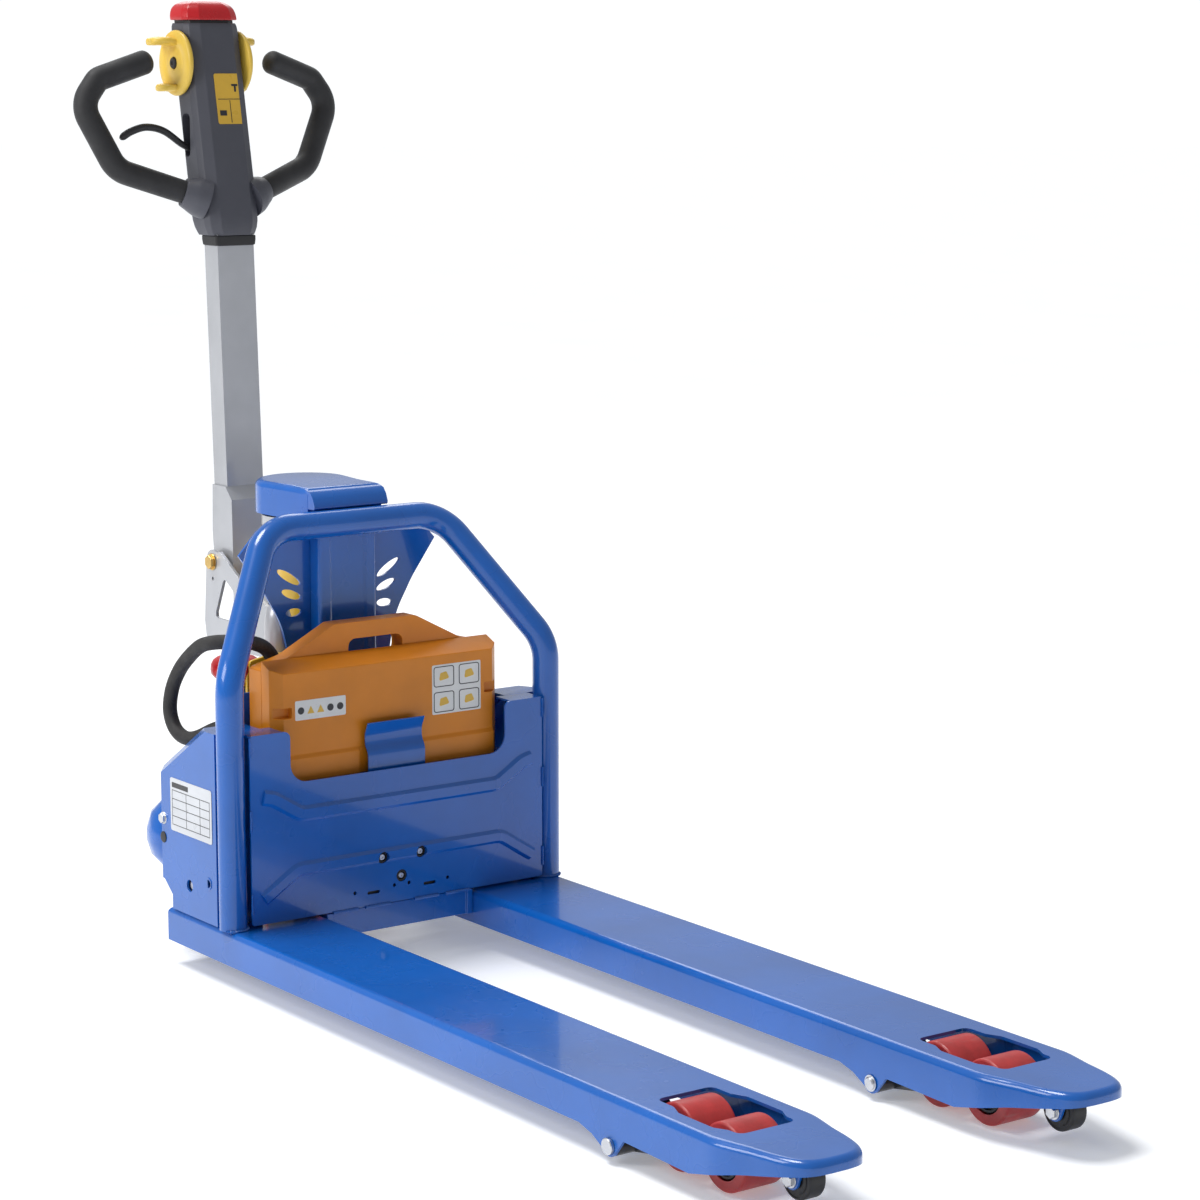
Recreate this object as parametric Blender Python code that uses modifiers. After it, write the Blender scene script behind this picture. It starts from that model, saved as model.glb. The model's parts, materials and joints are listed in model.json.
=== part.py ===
"""Electric pallet truck with a lift-out battery, a lean-back guard hoop and a steered drive wheel.

Metres, +Z up. X runs from the fork heel towards the fork tips, Y across the truck and Z up from the floor.
The sizes below are measured from the fork heel; the last step moves the origin under the middle of the truck.
"""

import math

import bmesh
import bpy
from mathutils import Matrix, Vector

GAP = 0.0003  # between two pieces that touch
PLAY = 0.0005  # round a pin or a shaft that turns
ROLLER_SIDES = 20
WHEEL_SIDES = 28

# Forks
OVERALL_WIDTH = 0.540
FORK_WIDTH = 0.150
FORK_LENGTH = 1.170
FORK_TOP = 0.080
FORK_WALL = 0.004
FORK_REAR = -0.178
SKIRT_BOTTOM = 0.033
EDGE_ROUND = 0.009

# Load wheels, two in a row on a bogie under each fork
ROLLER_RADIUS = 0.040
ROLLER_WIDTH = 0.060
ROLLER_PITCH = 0.086
ROLLER_CORE = 0.026
AXLE_RADIUS = 0.010
BOGIE_FROM_TIP = 0.206
BOGIE_PLATE = 0.004
ARM_PIN_FROM_TIP = 0.314
ARM_PIN_HEIGHT = 0.021
ARM_PIN_RADIUS = 0.008
ARM_PLATE = 0.005
ARM_LUG_HEIGHT = 0.034
TIP_ROLLER_FROM_TIP = 0.061
TIP_ROLLER_RADIUS = 0.025
TIP_ROLLER_WIDTH = 0.024
TIP_ROLLER_CLEAR = 0.017
TIP_AXLE_RADIUS = 0.005
PUSH_ROD_RADIUS = 0.008
ROCKER_X = -0.100
ROCKER_HEIGHT = 0.060
ROCKER_SHAFT = 0.010
ROCKER_LEVER = 0.032

# Guard hoop
TUBE_RADIUS = 0.019
HOOP_X = -0.018
HOOP_KNEE_HEIGHT = 0.420
HOOP_TOP_X = -0.115
HOOP_TOP_HEIGHT = 0.602
HOOP_TOP_HALF = 0.141
HOOP_OVERHANG = 0.006  # how far the tube stands out past the forks
KNEE_BEND = 0.075
TOP_BEND = 0.070

# Front panel and battery bay
PANEL_THICK = 0.003
HORN_TOP = 0.345
BAY_HALF = 0.175
BAY_FLOOR = 0.273
BAY_CORNER = 0.025
CROSS_TOP = 0.0825
CROSS_BOTTOM = 0.047
CROSS_DEPTH = 0.045
RIB_WIDTH = 0.019
RIB_HEIGHT = 0.0025
TRAY_TOP = 0.2680
TRAY_THICK = 0.003
TRAY_REAR = -0.100
TRAY_BACK = 0.115
DECK_HOLE = 0.090
CLIP_HALF = 0.0465
CLIP_THICK = 0.002

# Battery
BATTERY_HALF = 0.170
BATTERY_WIDE_HALF = 0.184
BATTERY_FRONT = -0.0250
BATTERY_REAR = -0.092
BATTERY_SEAM = -0.060
BATTERY_EAVES = 0.417
BATTERY_SHOULDER = 0.433
BATTERY_TOP = 0.471
HANDLE_HALF = 0.066
HANDLE_FRONT = -0.062
HANDLE_REAR = -0.090
GRIP_HOLE_HALF = 0.044
GRIP_HOLE_BOTTOM = 0.419
GRIP_HOLE_TOP = 0.448

# Side boxes and stabiliser casters
SIDE_FRONT = -0.0385
SIDE_REAR = -0.202
SIDE_TOP = 0.345
SIDE_SLOPE_X = -0.087
SIDE_SLOPE_LOW = 0.274
SIDE_REAR_BOTTOM = 0.120
SIDE_FOOT_X = -0.163
SIDE_DEPTH = 0.070
SIDE_WALL = 0.0035
SIDE_CHAMFER = 0.012
CASTER_X = -0.240
CASTER_Y = 0.200
CASTER_RADIUS = 0.0375
CASTER_WIDTH = 0.025
CASTER_TRAIL = 0.020
CASTER_PLATE_TOP = 0.104
CASTER_STEM = 0.008
CASTER_AXLE = 0.004
DOME_RADIUS = 0.060
DOME_BOTTOM = 0.120
DOME_TOP = 0.215

# Lift tower
STEER_X = -0.250
WEB_X = -0.156
WEB_THICK = 0.004
WEB_BOTTOM = 0.360
WEB_FOOT_HALF = 0.080
COLUMN_FRONT = -0.131
COLUMN_HALF = 0.047
COLUMN_TOP = 0.590
FLANGE_TOP = 0.602
CAP_FRONT = -0.120
CAP_TOP = 0.650
CAP_LIP = 0.6215
CAP_SKIRT = 0.6030
CAP_LIP_HALF = 0.060
CAP_SIDE_HALF = 0.063
CAP_WALL = 0.005
RAM_RADIUS = 0.018
RAM_TOP = 0.640
RAM_BOTTOM = 0.330
CYLINDER_RADIUS = 0.039
CYLINDER_TOP = 0.572
CYLINDER_BOTTOM = 0.245
CYLINDER_FLOOR = 0.300
COLLAR_RADIUS = 0.060
COLLAR_BOTTOM = 0.584

# Emergency stop
STOP_X = -0.165
STOP_Y = -0.163
STOP_POST_TOP = 0.384

# Battery cable
CABLE_RADIUS = 0.010
PLUG_TOP = 0.3985
CABLE_ROUTE = [
    (-0.1140, -0.1280, 0.4003),
    (-0.1140, -0.1320, 0.4200),
    (-0.1120, -0.1480, 0.4400),
    (-0.1060, -0.1780, 0.4520),
    (-0.1000, -0.2080, 0.4560),
    (-0.1180, -0.2240, 0.4540),
    (-0.1450, -0.2280, 0.4460),
    (-0.1760, -0.2280, 0.4280),
    (-0.2060, -0.2280, 0.4040),
    (-0.2290, -0.2280, 0.3740),
    (-0.2370, -0.2280, 0.3420),
    (-0.2250, -0.2270, 0.3180),
    (-0.2020, -0.2240, 0.3080),
    (-0.1780, -0.2180, 0.3120),
    (-0.1500, -0.2080, 0.3260),
    (-0.1260, -0.1920, 0.3370),
    (-0.1140, -0.1860, 0.3400),
    (-0.1042, -0.1860, 0.3400),
]

# Drive unit
WHEEL_RADIUS = 0.105
WHEEL_WIDTH = 0.070
TYRE_DEPTH = 0.018
WHEEL_AXLE = 0.012
CHEEK_THICK = 0.008
YOKE_TOP = 0.240
YOKE_PLATE = 0.014
SLEEVE_WALL = 0.007
MOTOR_RADIUS = 0.045
MOTOR_LENGTH = 0.062

# Tiller
TILLER_PIVOT_X = -0.435
TILLER_PIVOT_Z = 0.510
TILLER_BOLT = 0.008
BRACKET_HALF = 0.041
BRACKET_THICK = 0.005
BRACKET_BOTTOM = 0.388
ARM_WIDTH = 0.060
ARM_DEPTH = 0.038
ARM_WALL = 0.003
ARM_FRONT_LOW = -0.4145
ARM_LEAN = math.radians(2.6)
ARM_TOP = 1.030
YOKE_HALF = 0.0335
CREASE = 0.620
HEAD_LEAN = math.radians(10.5)
HEAD_BOTTOM = 0.985
HEAD_TOP = 1.288
HEAD_FRONT_LOW = -0.4205
HEAD_HALF = 0.044
HEAD_DEPTH = 0.076
PADDLE_RADIUS = 0.047
PADDLE_BORE = 0.009
PADDLE_X = -0.507
PADDLE_Z = 1.231
PADDLE_IN = HEAD_HALF + 0.0015
PADDLE_OUT = HEAD_HALF + 0.0095
GRIP_RADIUS = 0.0175


# ---------------------------------------------------------------- modelling helpers


def new_collection(name):
    made = bpy.data.collections.new(name)
    bpy.context.scene.collection.children.link(made)
    return made


def material(name, colour, roughness, metallic=0.0):
    made = bpy.data.materials.new(name)
    made.use_nodes = True
    shader = made.node_tree.nodes["Principled BSDF"]
    shader.inputs["Base Color"].default_value = (*colour, 1.0)
    shader.inputs["Roughness"].default_value = roughness
    shader.inputs["Metallic"].default_value = metallic
    made.diffuse_color = (*colour, 1.0)
    return made


def object_from(bm, name):
    """A new object holding this mesh, with its normals out and its round faces smooth."""
    bmesh.ops.remove_doubles(bm, verts=bm.verts, dist=1e-6)
    bmesh.ops.recalc_face_normals(bm, faces=bm.faces)
    mesh = bpy.data.meshes.new(name)
    bm.to_mesh(mesh)
    bm.free()
    mesh.shade_smooth()
    mesh.set_sharp_from_angle(angle=math.radians(35))
    made = bpy.data.objects.new(name, mesh)
    PARTS.objects.link(made)
    return made


def baked(source, name, place=None):
    """The evaluated mesh of a curve or a modified object as a plain mesh object; place maps each point."""
    bpy.context.view_layer.update()
    evaluated = source.evaluated_get(bpy.context.evaluated_depsgraph_get())
    mesh = bpy.data.meshes.new_from_object(evaluated)
    bm = bmesh.new()
    bm.from_mesh(mesh)
    bpy.data.objects.remove(source)
    bpy.data.meshes.remove(mesh)
    if place:
        for vertex in bm.verts:
            vertex.co = place(vertex.co)
    return object_from(bm, name)


def block(name, low, high, bevel=0.0, segments=1):
    bm = bmesh.new()
    bmesh.ops.create_cube(bm, size=1.0)
    low, high = Vector(low), Vector(high)
    for vertex in bm.verts:
        vertex.co = Vector(l + (c + 0.5) * (h - l) for l, h, c in zip(low, high, vertex.co))
    if bevel:
        bmesh.ops.bevel(bm, geom=bm.edges, offset=bevel, segments=segments, profile=0.5, affect="EDGES")
    return object_from(bm, name)


def bevel_edges(target, chosen, width, segments=1):
    """Bevels the sharp edges whose two ends both pass the test."""
    bm = bmesh.new()
    bm.from_mesh(target.data)
    edges = [e for e in bm.edges if e.calc_face_angle(0) > 0.3 and all(chosen(v.co) for v in e.verts)]
    bmesh.ops.bevel(bm, geom=edges, offset=width, segments=segments, profile=0.5, affect="EDGES")
    bm.to_mesh(target.data)
    bm.free()
    return target


def rod(name, start, end, radius, sides=24, end_radius=None):
    start, end = Vector(start), Vector(end)
    along = end - start
    bm = bmesh.new()
    bmesh.ops.create_cone(
        bm,
        cap_ends=True,
        segments=sides,
        radius1=radius,
        radius2=radius if end_radius is None else end_radius,
        depth=along.length,
    )
    turn = Vector((0, 0, 1)).rotation_difference(along).to_matrix().to_4x4()
    bmesh.ops.transform(bm, verts=bm.verts, matrix=Matrix.Translation((start + end) / 2) @ turn)
    return object_from(bm, name)


def turned(name, profile, centre, axis="Z", sides=32):
    """A profile of (radius, distance along the axis) turned round an axis through centre."""
    closed = min(radius for radius, _ in profile) > 0
    bm = bmesh.new()
    corners = [bm.verts.new((radius, 0, along)) for radius, along in profile]
    for first, second in zip(corners, corners[1:] + corners[:1] if closed else corners[1:]):
        bm.edges.new((first, second))
    mesh = bpy.data.meshes.new(name)
    bm.to_mesh(mesh)
    bm.free()
    spun = bpy.data.objects.new(name + "_profile", mesh)
    PARTS.objects.link(spun)
    screw = spun.modifiers.new("turn", "SCREW")
    screw.steps = screw.render_steps = sides
    screw.use_merge_vertices = True
    screw.merge_threshold = 1e-6
    centre = Vector(centre)

    def place(point):
        x, y, z = point
        across = {"Z": (x, y, z), "Y": (x, z, y), "X": (z, x, y)}[axis]
        return centre + Vector(across)

    return baked(spun, name, place)


def extruded(name, outline, plane, low, high, holes=()):
    """A flat outline in the XY, XZ or YZ plane, with holes, thickened from low to high along the third axis."""
    curve = bpy.data.curves.new(name, "CURVE")
    curve.dimensions = "2D"
    curve.fill_mode = "BOTH"
    curve.extrude = (high - low) / 2
    for ring in (outline, *holes):
        spline = curve.splines.new("POLY")
        spline.points.add(len(ring) - 1)
        for point, (u, v) in zip(spline.points, ring):
            point.co = (u, v, 0, 1)
        spline.use_cyclic_u = True
    flat = bpy.data.objects.new(name + "_outline", curve)
    PARTS.objects.link(flat)
    middle = (low + high) / 2

    def place(point):
        u, v, w = point
        w += middle
        return Vector({"XY": (u, v, w), "XZ": (u, w, v), "YZ": (w, u, v)}[plane])

    return baked(flat, name, place)


def tube(name, path, radius, resolution=3):
    curve = bpy.data.curves.new(name, "CURVE")
    curve.dimensions = "3D"
    curve.bevel_depth = radius
    curve.bevel_resolution = resolution
    curve.use_fill_caps = True
    spline = curve.splines.new("POLY")
    spline.points.add(len(path) - 1)
    for point, place in zip(spline.points, path):
        point.co = (*place, 1)
    made = bpy.data.objects.new(name + "_path", curve)
    PARTS.objects.link(made)
    return baked(made, name)


def boolean(target, tool, operation):
    CUTTERS.objects.link(tool)
    PARTS.objects.unlink(tool)
    tool.hide_render = True
    tool.display_type = "WIRE"
    modifier = target.modifiers.new(tool.name, "BOOLEAN")
    modifier.operation = operation
    modifier.object = tool
    return target


def cut(target, *tools):
    for tool in tools:
        boolean(target, tool, "DIFFERENCE")
    return target


def fuse(target, *tools):
    for tool in tools:
        boolean(target, tool, "UNION")
    return target


def arc(cx, cy, radius, start, end, steps):
    """Points on an arc, angles in degrees."""
    for i in range(steps + 1):
        angle = math.radians(start + (end - start) * i / steps)
        yield cx + radius * math.cos(angle), cy + radius * math.sin(angle)


def rounded(points, radius, steps=3):
    """A closed outline with its corners rounded; radius is one value or one for each corner."""
    count = len(points)
    radii = radius if isinstance(radius, (list, tuple)) else [radius] * count
    made = []
    for i, corner in enumerate(points):
        if not radii[i]:
            made.append(tuple(corner))
            continue
        made += fillet(Vector(points[i - 1]), Vector(corner), Vector(points[(i + 1) % count]), radii[i], steps)
    return made


def fillet(before, corner, after, radius, steps):
    """The points of a round of this radius at a corner, in two or three dimensions."""
    back, on = (before - corner).normalized(), (after - corner).normalized()
    half = back.angle(on) / 2
    reach = radius / math.tan(half)
    centre = corner + (back + on).normalized() * radius / math.sin(half)
    first, last = corner + back * reach - centre, corner + on * reach - centre
    sweep = math.pi - 2 * half
    points = []
    for i in range(steps + 1):
        t = i / steps
        mixed = first * math.sin((1 - t) * sweep) + last * math.sin(t * sweep)
        points.append(tuple(centre + mixed / math.sin(sweep)))
    return points


def path_with_bends(corners, radii, steps=5):
    """An open 3-D path whose inner corners are bent to the given radii."""
    corners = [Vector(c) for c in corners]
    path = [tuple(corners[0])]
    for i, radius in zip(range(1, len(corners) - 1), radii):
        path += fillet(corners[i - 1], corners[i], corners[i + 1], radius, steps)
    return path + [tuple(corners[-1])]


def mirrored(points):
    """An outline given for Y > 0, closed with its mirror image."""
    return points + [(-u, v) for u, v in reversed(points)]


def smooth_path(points, per_span=4):
    """A Catmull-Rom curve through the points."""
    points = [Vector(p) for p in points]
    ends = [2 * points[0] - points[1], *points, 2 * points[-1] - points[-2]]
    path = []
    for a, b, c, d in zip(ends, ends[1:], ends[2:], ends[3:]):
        for i in range(per_span):
            t = i / per_span
            path.append(
                0.5 * (2 * b + (c - a) * t + (2 * a - 5 * b + 4 * c - d) * t**2 + (3 * b - a - 3 * c + d) * t**3)
            )
    return [tuple(p) for p in path + [points[-1]]]


def finish(target, finish_material, joint=None):
    """Gives a piece its material and hangs it on its joint's empty, with its origin on the joint's axis."""
    target.data.materials.clear()
    target.data.materials.append(finish_material)
    if joint:
        target.data.transform(Matrix.Translation(-joint.matrix_world.translation))
        target.parent = joint
    return target


def pivot(name, place, parent=None):
    """An empty on a joint's axis."""
    made = bpy.data.objects.new(name, None)
    made.empty_display_size = 0.05
    PARTS.objects.link(made)
    made.parent = parent
    made.location = Vector(place) - (parent.matrix_world.translation if parent else Vector())
    bpy.context.view_layer.update()
    return made


# ---------------------------------------------------------------- where things lie

BATTERY_BOTTOM = TRAY_TOP + GAP
FORK_Y = (OVERALL_WIDTH - FORK_WIDTH) / 2
FORK_INNER = OVERALL_WIDTH / 2 - FORK_WIDTH
LEG_Y = OVERALL_WIDTH / 2 + HOOP_OVERHANG - TUBE_RADIUS
PANEL_HALF = LEG_Y - TUBE_RADIUS - GAP
BOGIE_X = FORK_LENGTH - BOGIE_FROM_TIP
ARM_PIN_X = FORK_LENGTH - ARM_PIN_FROM_TIP
TIP_ROLLER_X = FORK_LENGTH - TIP_ROLLER_FROM_TIP
ROLLER_XS = {"rear": BOGIE_X - ROLLER_PITCH / 2, "front": BOGIE_X + ROLLER_PITCH / 2}
BOGIE_INNER = ROLLER_WIDTH / 2 + 0.0035
ARM_INNER = BOGIE_INNER + BOGIE_PLATE + 0.0025
SIDES = {"left": 1, "right": -1}
RING_INNER = CYLINDER_RADIUS + PLAY


def fork_outline(inset):
    """Half of a fork's plan, from its rear corner round to its nose, drawn in by inset."""
    half = FORK_WIDTH / 2 - inset
    nose = FORK_LENGTH - inset
    return [
        (FORK_REAR + inset, half),
        (nose - 0.130, half),
        (nose - 0.105, half - 0.008),
        (nose - 0.066, half - 0.016),
        (nose - 0.030, half - 0.031),
        (nose - 0.010, half - 0.047),
        (nose, half - 0.064),
    ]


def fork_side():
    """The side view of a fork: ears round the arm pin, and a lower edge that rises to the tip."""
    ear = ARM_PIN_RADIUS + 0.005
    return [
        (FORK_REAR - 0.01, SKIRT_BOTTOM),
        (ARM_PIN_X - 0.055, SKIRT_BOTTOM),
        *arc(ARM_PIN_X, ARM_PIN_HEIGHT, ear, 240, 320, 4),
        (ARM_PIN_X + 0.026, SKIRT_BOTTOM),
        (BOGIE_X + 0.038, SKIRT_BOTTOM - 0.003),
        (TIP_ROLLER_X - 0.030, 0.048),
        (TIP_ROLLER_X + 0.032, 0.060),
        (FORK_LENGTH + 0.01, 0.066),
        (FORK_LENGTH + 0.01, FORK_TOP + 0.01),
        (FORK_REAR - 0.01, FORK_TOP + 0.01),
    ]


def window_outline():
    """The roller window, wider in its middle."""
    back, front = ROLLER_XS["rear"] - 0.024, ROLLER_XS["front"] + 0.041
    narrow, wide = ROLLER_WIDTH / 2 + 0.010, ROLLER_WIDTH / 2 + 0.019
    half = [
        (back, narrow),
        (BOGIE_X - 0.016, wide),
        (BOGIE_X + 0.050, wide),
        (front, narrow),
    ]
    ring = half + [(x, -y) for x, y in reversed(half)]
    return rounded(ring, 0.007, 2)


def shifted(outline, offset):
    return [(x, y + offset) for x, y in outline]


def plan(half, offset):
    return shifted(half + [(x, -y) for x, y in reversed(half)], offset)


# ---------------------------------------------------------------- forks and load wheels


def fork(side, sign):
    centre = sign * FORK_Y
    shell = extruded(f"fork_{side}", plan(fork_outline(0), centre), "XY", 0.0, FORK_TOP)
    bevel_edges(shell, lambda p: p.z > FORK_TOP - 1e-5, EDGE_ROUND, 2)
    reach = FORK_WIDTH / 2 + 0.01
    profile = extruded("fork_side_view", fork_side(), "XZ", centre - reach, centre + reach)
    boolean(shell, profile, "INTERSECT")
    hollow = extruded("fork_hollow", plan(fork_outline(FORK_WALL), centre), "XY", -0.01, FORK_TOP - FORK_WALL)
    window = extruded("roller_window", shifted(window_outline(), centre), "XY", 0.0, FORK_TOP + 0.01)
    pin_hole = rod(
        "arm_pin_hole",
        (ARM_PIN_X, centre - reach, ARM_PIN_HEIGHT),
        (ARM_PIN_X, centre + reach, ARM_PIN_HEIGHT),
        ARM_PIN_RADIUS + GAP,
        20,
    )
    inner = sign * FORK_INNER
    shaft_hole = rod(
        "rocker_shaft_hole",
        (ROCKER_X, inner - 0.01, ROCKER_HEIGHT),
        (ROCKER_X, inner + 0.01, ROCKER_HEIGHT),
        ROCKER_SHAFT + PLAY,
        16,
    )
    cut(shell, hollow, window, pin_hole, shaft_hole)
    return finish(fuse(shell, tip_bracket(centre)), BLUE)


def tip_bracket(centre):
    """Two tapered cheeks under the fork's nose, joined by the tip roller's axle."""
    height = TIP_ROLLER_CLEAR + TIP_ROLLER_RADIUS
    gap = TIP_ROLLER_WIDTH / 2 + 0.002
    cheek = [
        (TIP_ROLLER_X - 0.030, FORK_TOP - FORK_WALL / 2),
        (TIP_ROLLER_X - 0.012, height - 0.004),
        *arc(TIP_ROLLER_X, height, 0.011, 200, 340, 4),
        (TIP_ROLLER_X + 0.026, FORK_TOP - FORK_WALL / 2),
    ]
    cheeks = [
        extruded("tip_cheek", cheek, "XZ", min(a, b), max(a, b))
        for a, b in ((centre + gap, centre + gap + 0.004), (centre - gap, centre - gap - 0.004))
    ]
    axle = rod(
        "tip_axle",
        (TIP_ROLLER_X, centre - gap - 0.008, height),
        (TIP_ROLLER_X, centre + gap + 0.008, height),
        TIP_AXLE_RADIUS,
        12,
    )
    return fuse(axle, *cheeks)


def inside(radius, sides):
    """The radius that fits inside a bore of this radius when both are faceted."""
    return radius * math.cos(math.pi / sides) - GAP


def ring(name, centre, outer, bore, width, sides, chamfer=0.002):
    """A roller or a hub turned about an axis along Y."""
    half = width / 2
    profile = [
        (bore, -half),
        (outer - chamfer, -half),
        (outer, -half + chamfer),
        (outer, half - chamfer),
        (outer - chamfer, half),
        (bore, half),
    ]
    return turned(name, profile, centre, "Y", sides)


def load_wheels(side, sign, arm_joint, bogie_joint):
    centre = sign * FORK_Y
    plate = rounded(
        [
            (ROLLER_XS["rear"] - 0.016, ROLLER_RADIUS - 0.015),
            (ROLLER_XS["front"] + 0.016, ROLLER_RADIUS - 0.015),
            (ROLLER_XS["front"] + 0.016, ROLLER_RADIUS + 0.015),
            (ROLLER_XS["rear"] - 0.016, ROLLER_RADIUS + 0.015),
        ],
        0.0145,
        3,
    )
    frame = None
    for edge in (BOGIE_INNER, -BOGIE_INNER - BOGIE_PLATE):
        cheek = extruded(f"bogie_{side}", plate, "XZ", centre + edge, centre + edge + BOGIE_PLATE)
        frame = fuse(frame, cheek) if frame else cheek
    outer = BOGIE_INNER + BOGIE_PLATE
    for x in ROLLER_XS.values():
        fuse(frame, rod("roller_axle", (x, centre - outer, ROLLER_RADIUS), (x, centre + outer, ROLLER_RADIUS), AXLE_RADIUS, 12))
    stub = ARM_INNER + ARM_PLATE + 0.002
    for way in (1, -1):
        start = (BOGIE_X, centre + way * (outer - 0.002), ROLLER_RADIUS)
        end = (BOGIE_X, centre + way * stub, ROLLER_RADIUS)
        fuse(frame, rod("bogie_stub", start, end, 0.007, 10))
    finish(frame, DARK_STEEL, bogie_joint)
    for place, x in ROLLER_XS.items():
        axis = (x, centre, ROLLER_RADIUS)
        spin = pivot(f"roller_{place}_{side}_spin", axis, bogie_joint)
        tyre = ring(f"load_roller_{place}_{side}", axis, ROLLER_RADIUS, ROLLER_CORE, ROLLER_WIDTH, ROLLER_SIDES, 0.003)
        finish(tyre, RED_PU, spin)
        hub = ring(f"roller_hub_{place}_{side}", axis, inside(ROLLER_CORE, ROLLER_SIDES), AXLE_RADIUS + PLAY, ROLLER_WIDTH - 0.006, 14)
        finish(hub, BLACK, spin)
    load_arm(side, centre, arm_joint)
    pin_reach = FORK_WIDTH / 2 + 0.005
    head = FORK_WIDTH / 2 + GAP
    pin = rod(
        f"arm_pin_{side}",
        (ARM_PIN_X, centre - pin_reach, ARM_PIN_HEIGHT),
        (ARM_PIN_X, centre + pin_reach, ARM_PIN_HEIGHT),
        ARM_PIN_RADIUS,
        20,
    )
    fuse(
        pin,
        rod(
            "pin_head",
            (ARM_PIN_X, centre + sign * head, ARM_PIN_HEIGHT),
            (ARM_PIN_X, centre + sign * pin_reach, ARM_PIN_HEIGHT),
            ARM_PIN_RADIUS + 0.002,
            20,
        ),
    )
    finish(pin, ZINC)


def load_arm(side, centre, joint):
    """The arm that swings down to lift a fork: a tube on the pin, two plates to the bogie and a lug for the rod."""
    reach = FORK_WIDTH / 2 - FORK_WALL - 0.0015
    outer = ARM_PIN_RADIUS + 0.005
    bore = ARM_PIN_RADIUS + PLAY
    profile = [(bore, -reach), (outer, -reach), (outer, reach), (bore, reach)]
    arm = turned(f"load_arm_{side}", profile, (ARM_PIN_X, centre, ARM_PIN_HEIGHT), "Y", 16)
    rise = math.degrees(math.atan2(ROLLER_RADIUS - ARM_PIN_HEIGHT, BOGIE_X - ARM_PIN_X))
    web = [
        *arc(ARM_PIN_X, ARM_PIN_HEIGHT, outer - 0.001, rise + 90, rise + 270, 6),
        *arc(BOGIE_X, ROLLER_RADIUS, 0.012, rise - 90, rise + 90, 6),
    ]
    holes = [list(arc(ARM_PIN_X, ARM_PIN_HEIGHT, bore + 0.0012, 0, 330, 11)), list(arc(BOGIE_X, ROLLER_RADIUS, 0.0077, 0, 330, 11))]
    for low in (ARM_INNER, -ARM_INNER - ARM_PLATE):
        fuse(arm, extruded("arm_plate", web, "XZ", centre + low, centre + low + ARM_PLATE, holes))
    top = ARM_PIN_HEIGHT + ARM_LUG_HEIGHT
    lug = [
        (ARM_PIN_X - 0.009, ARM_PIN_HEIGHT + bore + 0.001),
        (ARM_PIN_X + 0.009, ARM_PIN_HEIGHT + bore + 0.001),
        *arc(ARM_PIN_X, top, 0.009, 0, 180, 6),
    ]
    fuse(arm, extruded("rod_lug", lug, "XZ", centre - 0.006, centre + 0.006, [list(arc(ARM_PIN_X, top, 0.004, 0, 330, 11))]))
    finish(arm, DARK_STEEL, joint)


def push_rod(side, centre, joint):
    """The rod from the rocker to a load arm, with an eye at its rear end."""
    rear = (ROCKER_X, centre, ROCKER_HEIGHT - ROCKER_LEVER)
    front = (ARM_PIN_X - 0.014, centre, ARM_PIN_HEIGHT + ARM_LUG_HEIGHT)
    bar = rod(f"push_rod_{side}", (rear[0] + 0.016, *rear[1:]), front, PUSH_ROD_RADIUS, 12)
    fuse(bar, block("rod_end", (rear[0] + 0.012, centre - 0.010, rear[2] - 0.009), (rear[0] + 0.045, centre + 0.010, rear[2] + 0.009)))
    finish(bar, DARK_STEEL, joint)


def rocker(joint):
    """The cross shaft that turns the lift into a push on both rods."""
    reach = FORK_Y + 0.012
    height = ROCKER_HEIGHT
    shaft = rod("rocker_shaft", (ROCKER_X, -reach, height), (ROCKER_X, reach, height), ROCKER_SHAFT, 16)
    lever = [
        *arc(ROCKER_X, height - ROCKER_LEVER, 0.008, 180, 360, 5),
        *arc(ROCKER_X, height, ROCKER_SHAFT + 0.003, 0, 180, 5),
    ]
    for sign in SIDES.values():
        middle = sign * FORK_Y
        fuse(shaft, extruded("rocker_lever", lever, "XZ", middle - 0.006, middle + 0.006))
    nose = [
        *arc(ROCKER_X, height, ROCKER_SHAFT + 0.002, 180, 360, 5),
        *arc(ROCKER_X - 0.012, height + 0.045, 0.008, 0, 180, 5),
    ]
    fuse(shaft, extruded("rocker_nose", nose, "XZ", -0.010, 0.010))
    finish(shaft, DARK_STEEL, joint)


def tip_roller(side, centre, joint):
    axis = (TIP_ROLLER_X, centre, TIP_ROLLER_CLEAR + TIP_ROLLER_RADIUS)
    roller = ring(f"tip_roller_{side}", axis, TIP_ROLLER_RADIUS, TIP_AXLE_RADIUS + PLAY, TIP_ROLLER_WIDTH, 16)
    finish(roller, BLACK, joint)


# ---------------------------------------------------------------- chassis


def guard_hoop():
    """A bent tube: upright legs, then both sides lean back and in to a level top bar."""
    half = [
        (HOOP_X, LEG_Y, FORK_TOP + GAP),
        (HOOP_X, LEG_Y, HOOP_KNEE_HEIGHT),
        (HOOP_TOP_X, HOOP_TOP_HALF, HOOP_TOP_HEIGHT),
    ]
    corners = half + [(x, -y, z) for x, y, z in reversed(half)]
    path = path_with_bends(corners, [KNEE_BEND, TOP_BEND, TOP_BEND, KNEE_BEND])
    finish(tube("guard_hoop", path, TUBE_RADIUS, 3), BLUE)


def band(points, width):
    """An outline of constant width along an open polyline."""
    points = [Vector(p) for p in points]
    sides = []
    for i, point in enumerate(points):
        before = points[max(i - 1, 0)]
        after = points[min(i + 1, len(points) - 1)]
        first = (point - before).normalized() if i else (after - point).normalized()
        last = (after - point).normalized() if i < len(points) - 1 else first
        mean = (first + last).normalized()
        normal = Vector((-mean.y, mean.x))
        sides.append((point, normal * width / 2 / mean.dot(first)))
    return [tuple(p + n) for p, n in sides] + [tuple(p - n) for p, n in reversed(sides)]


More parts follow.
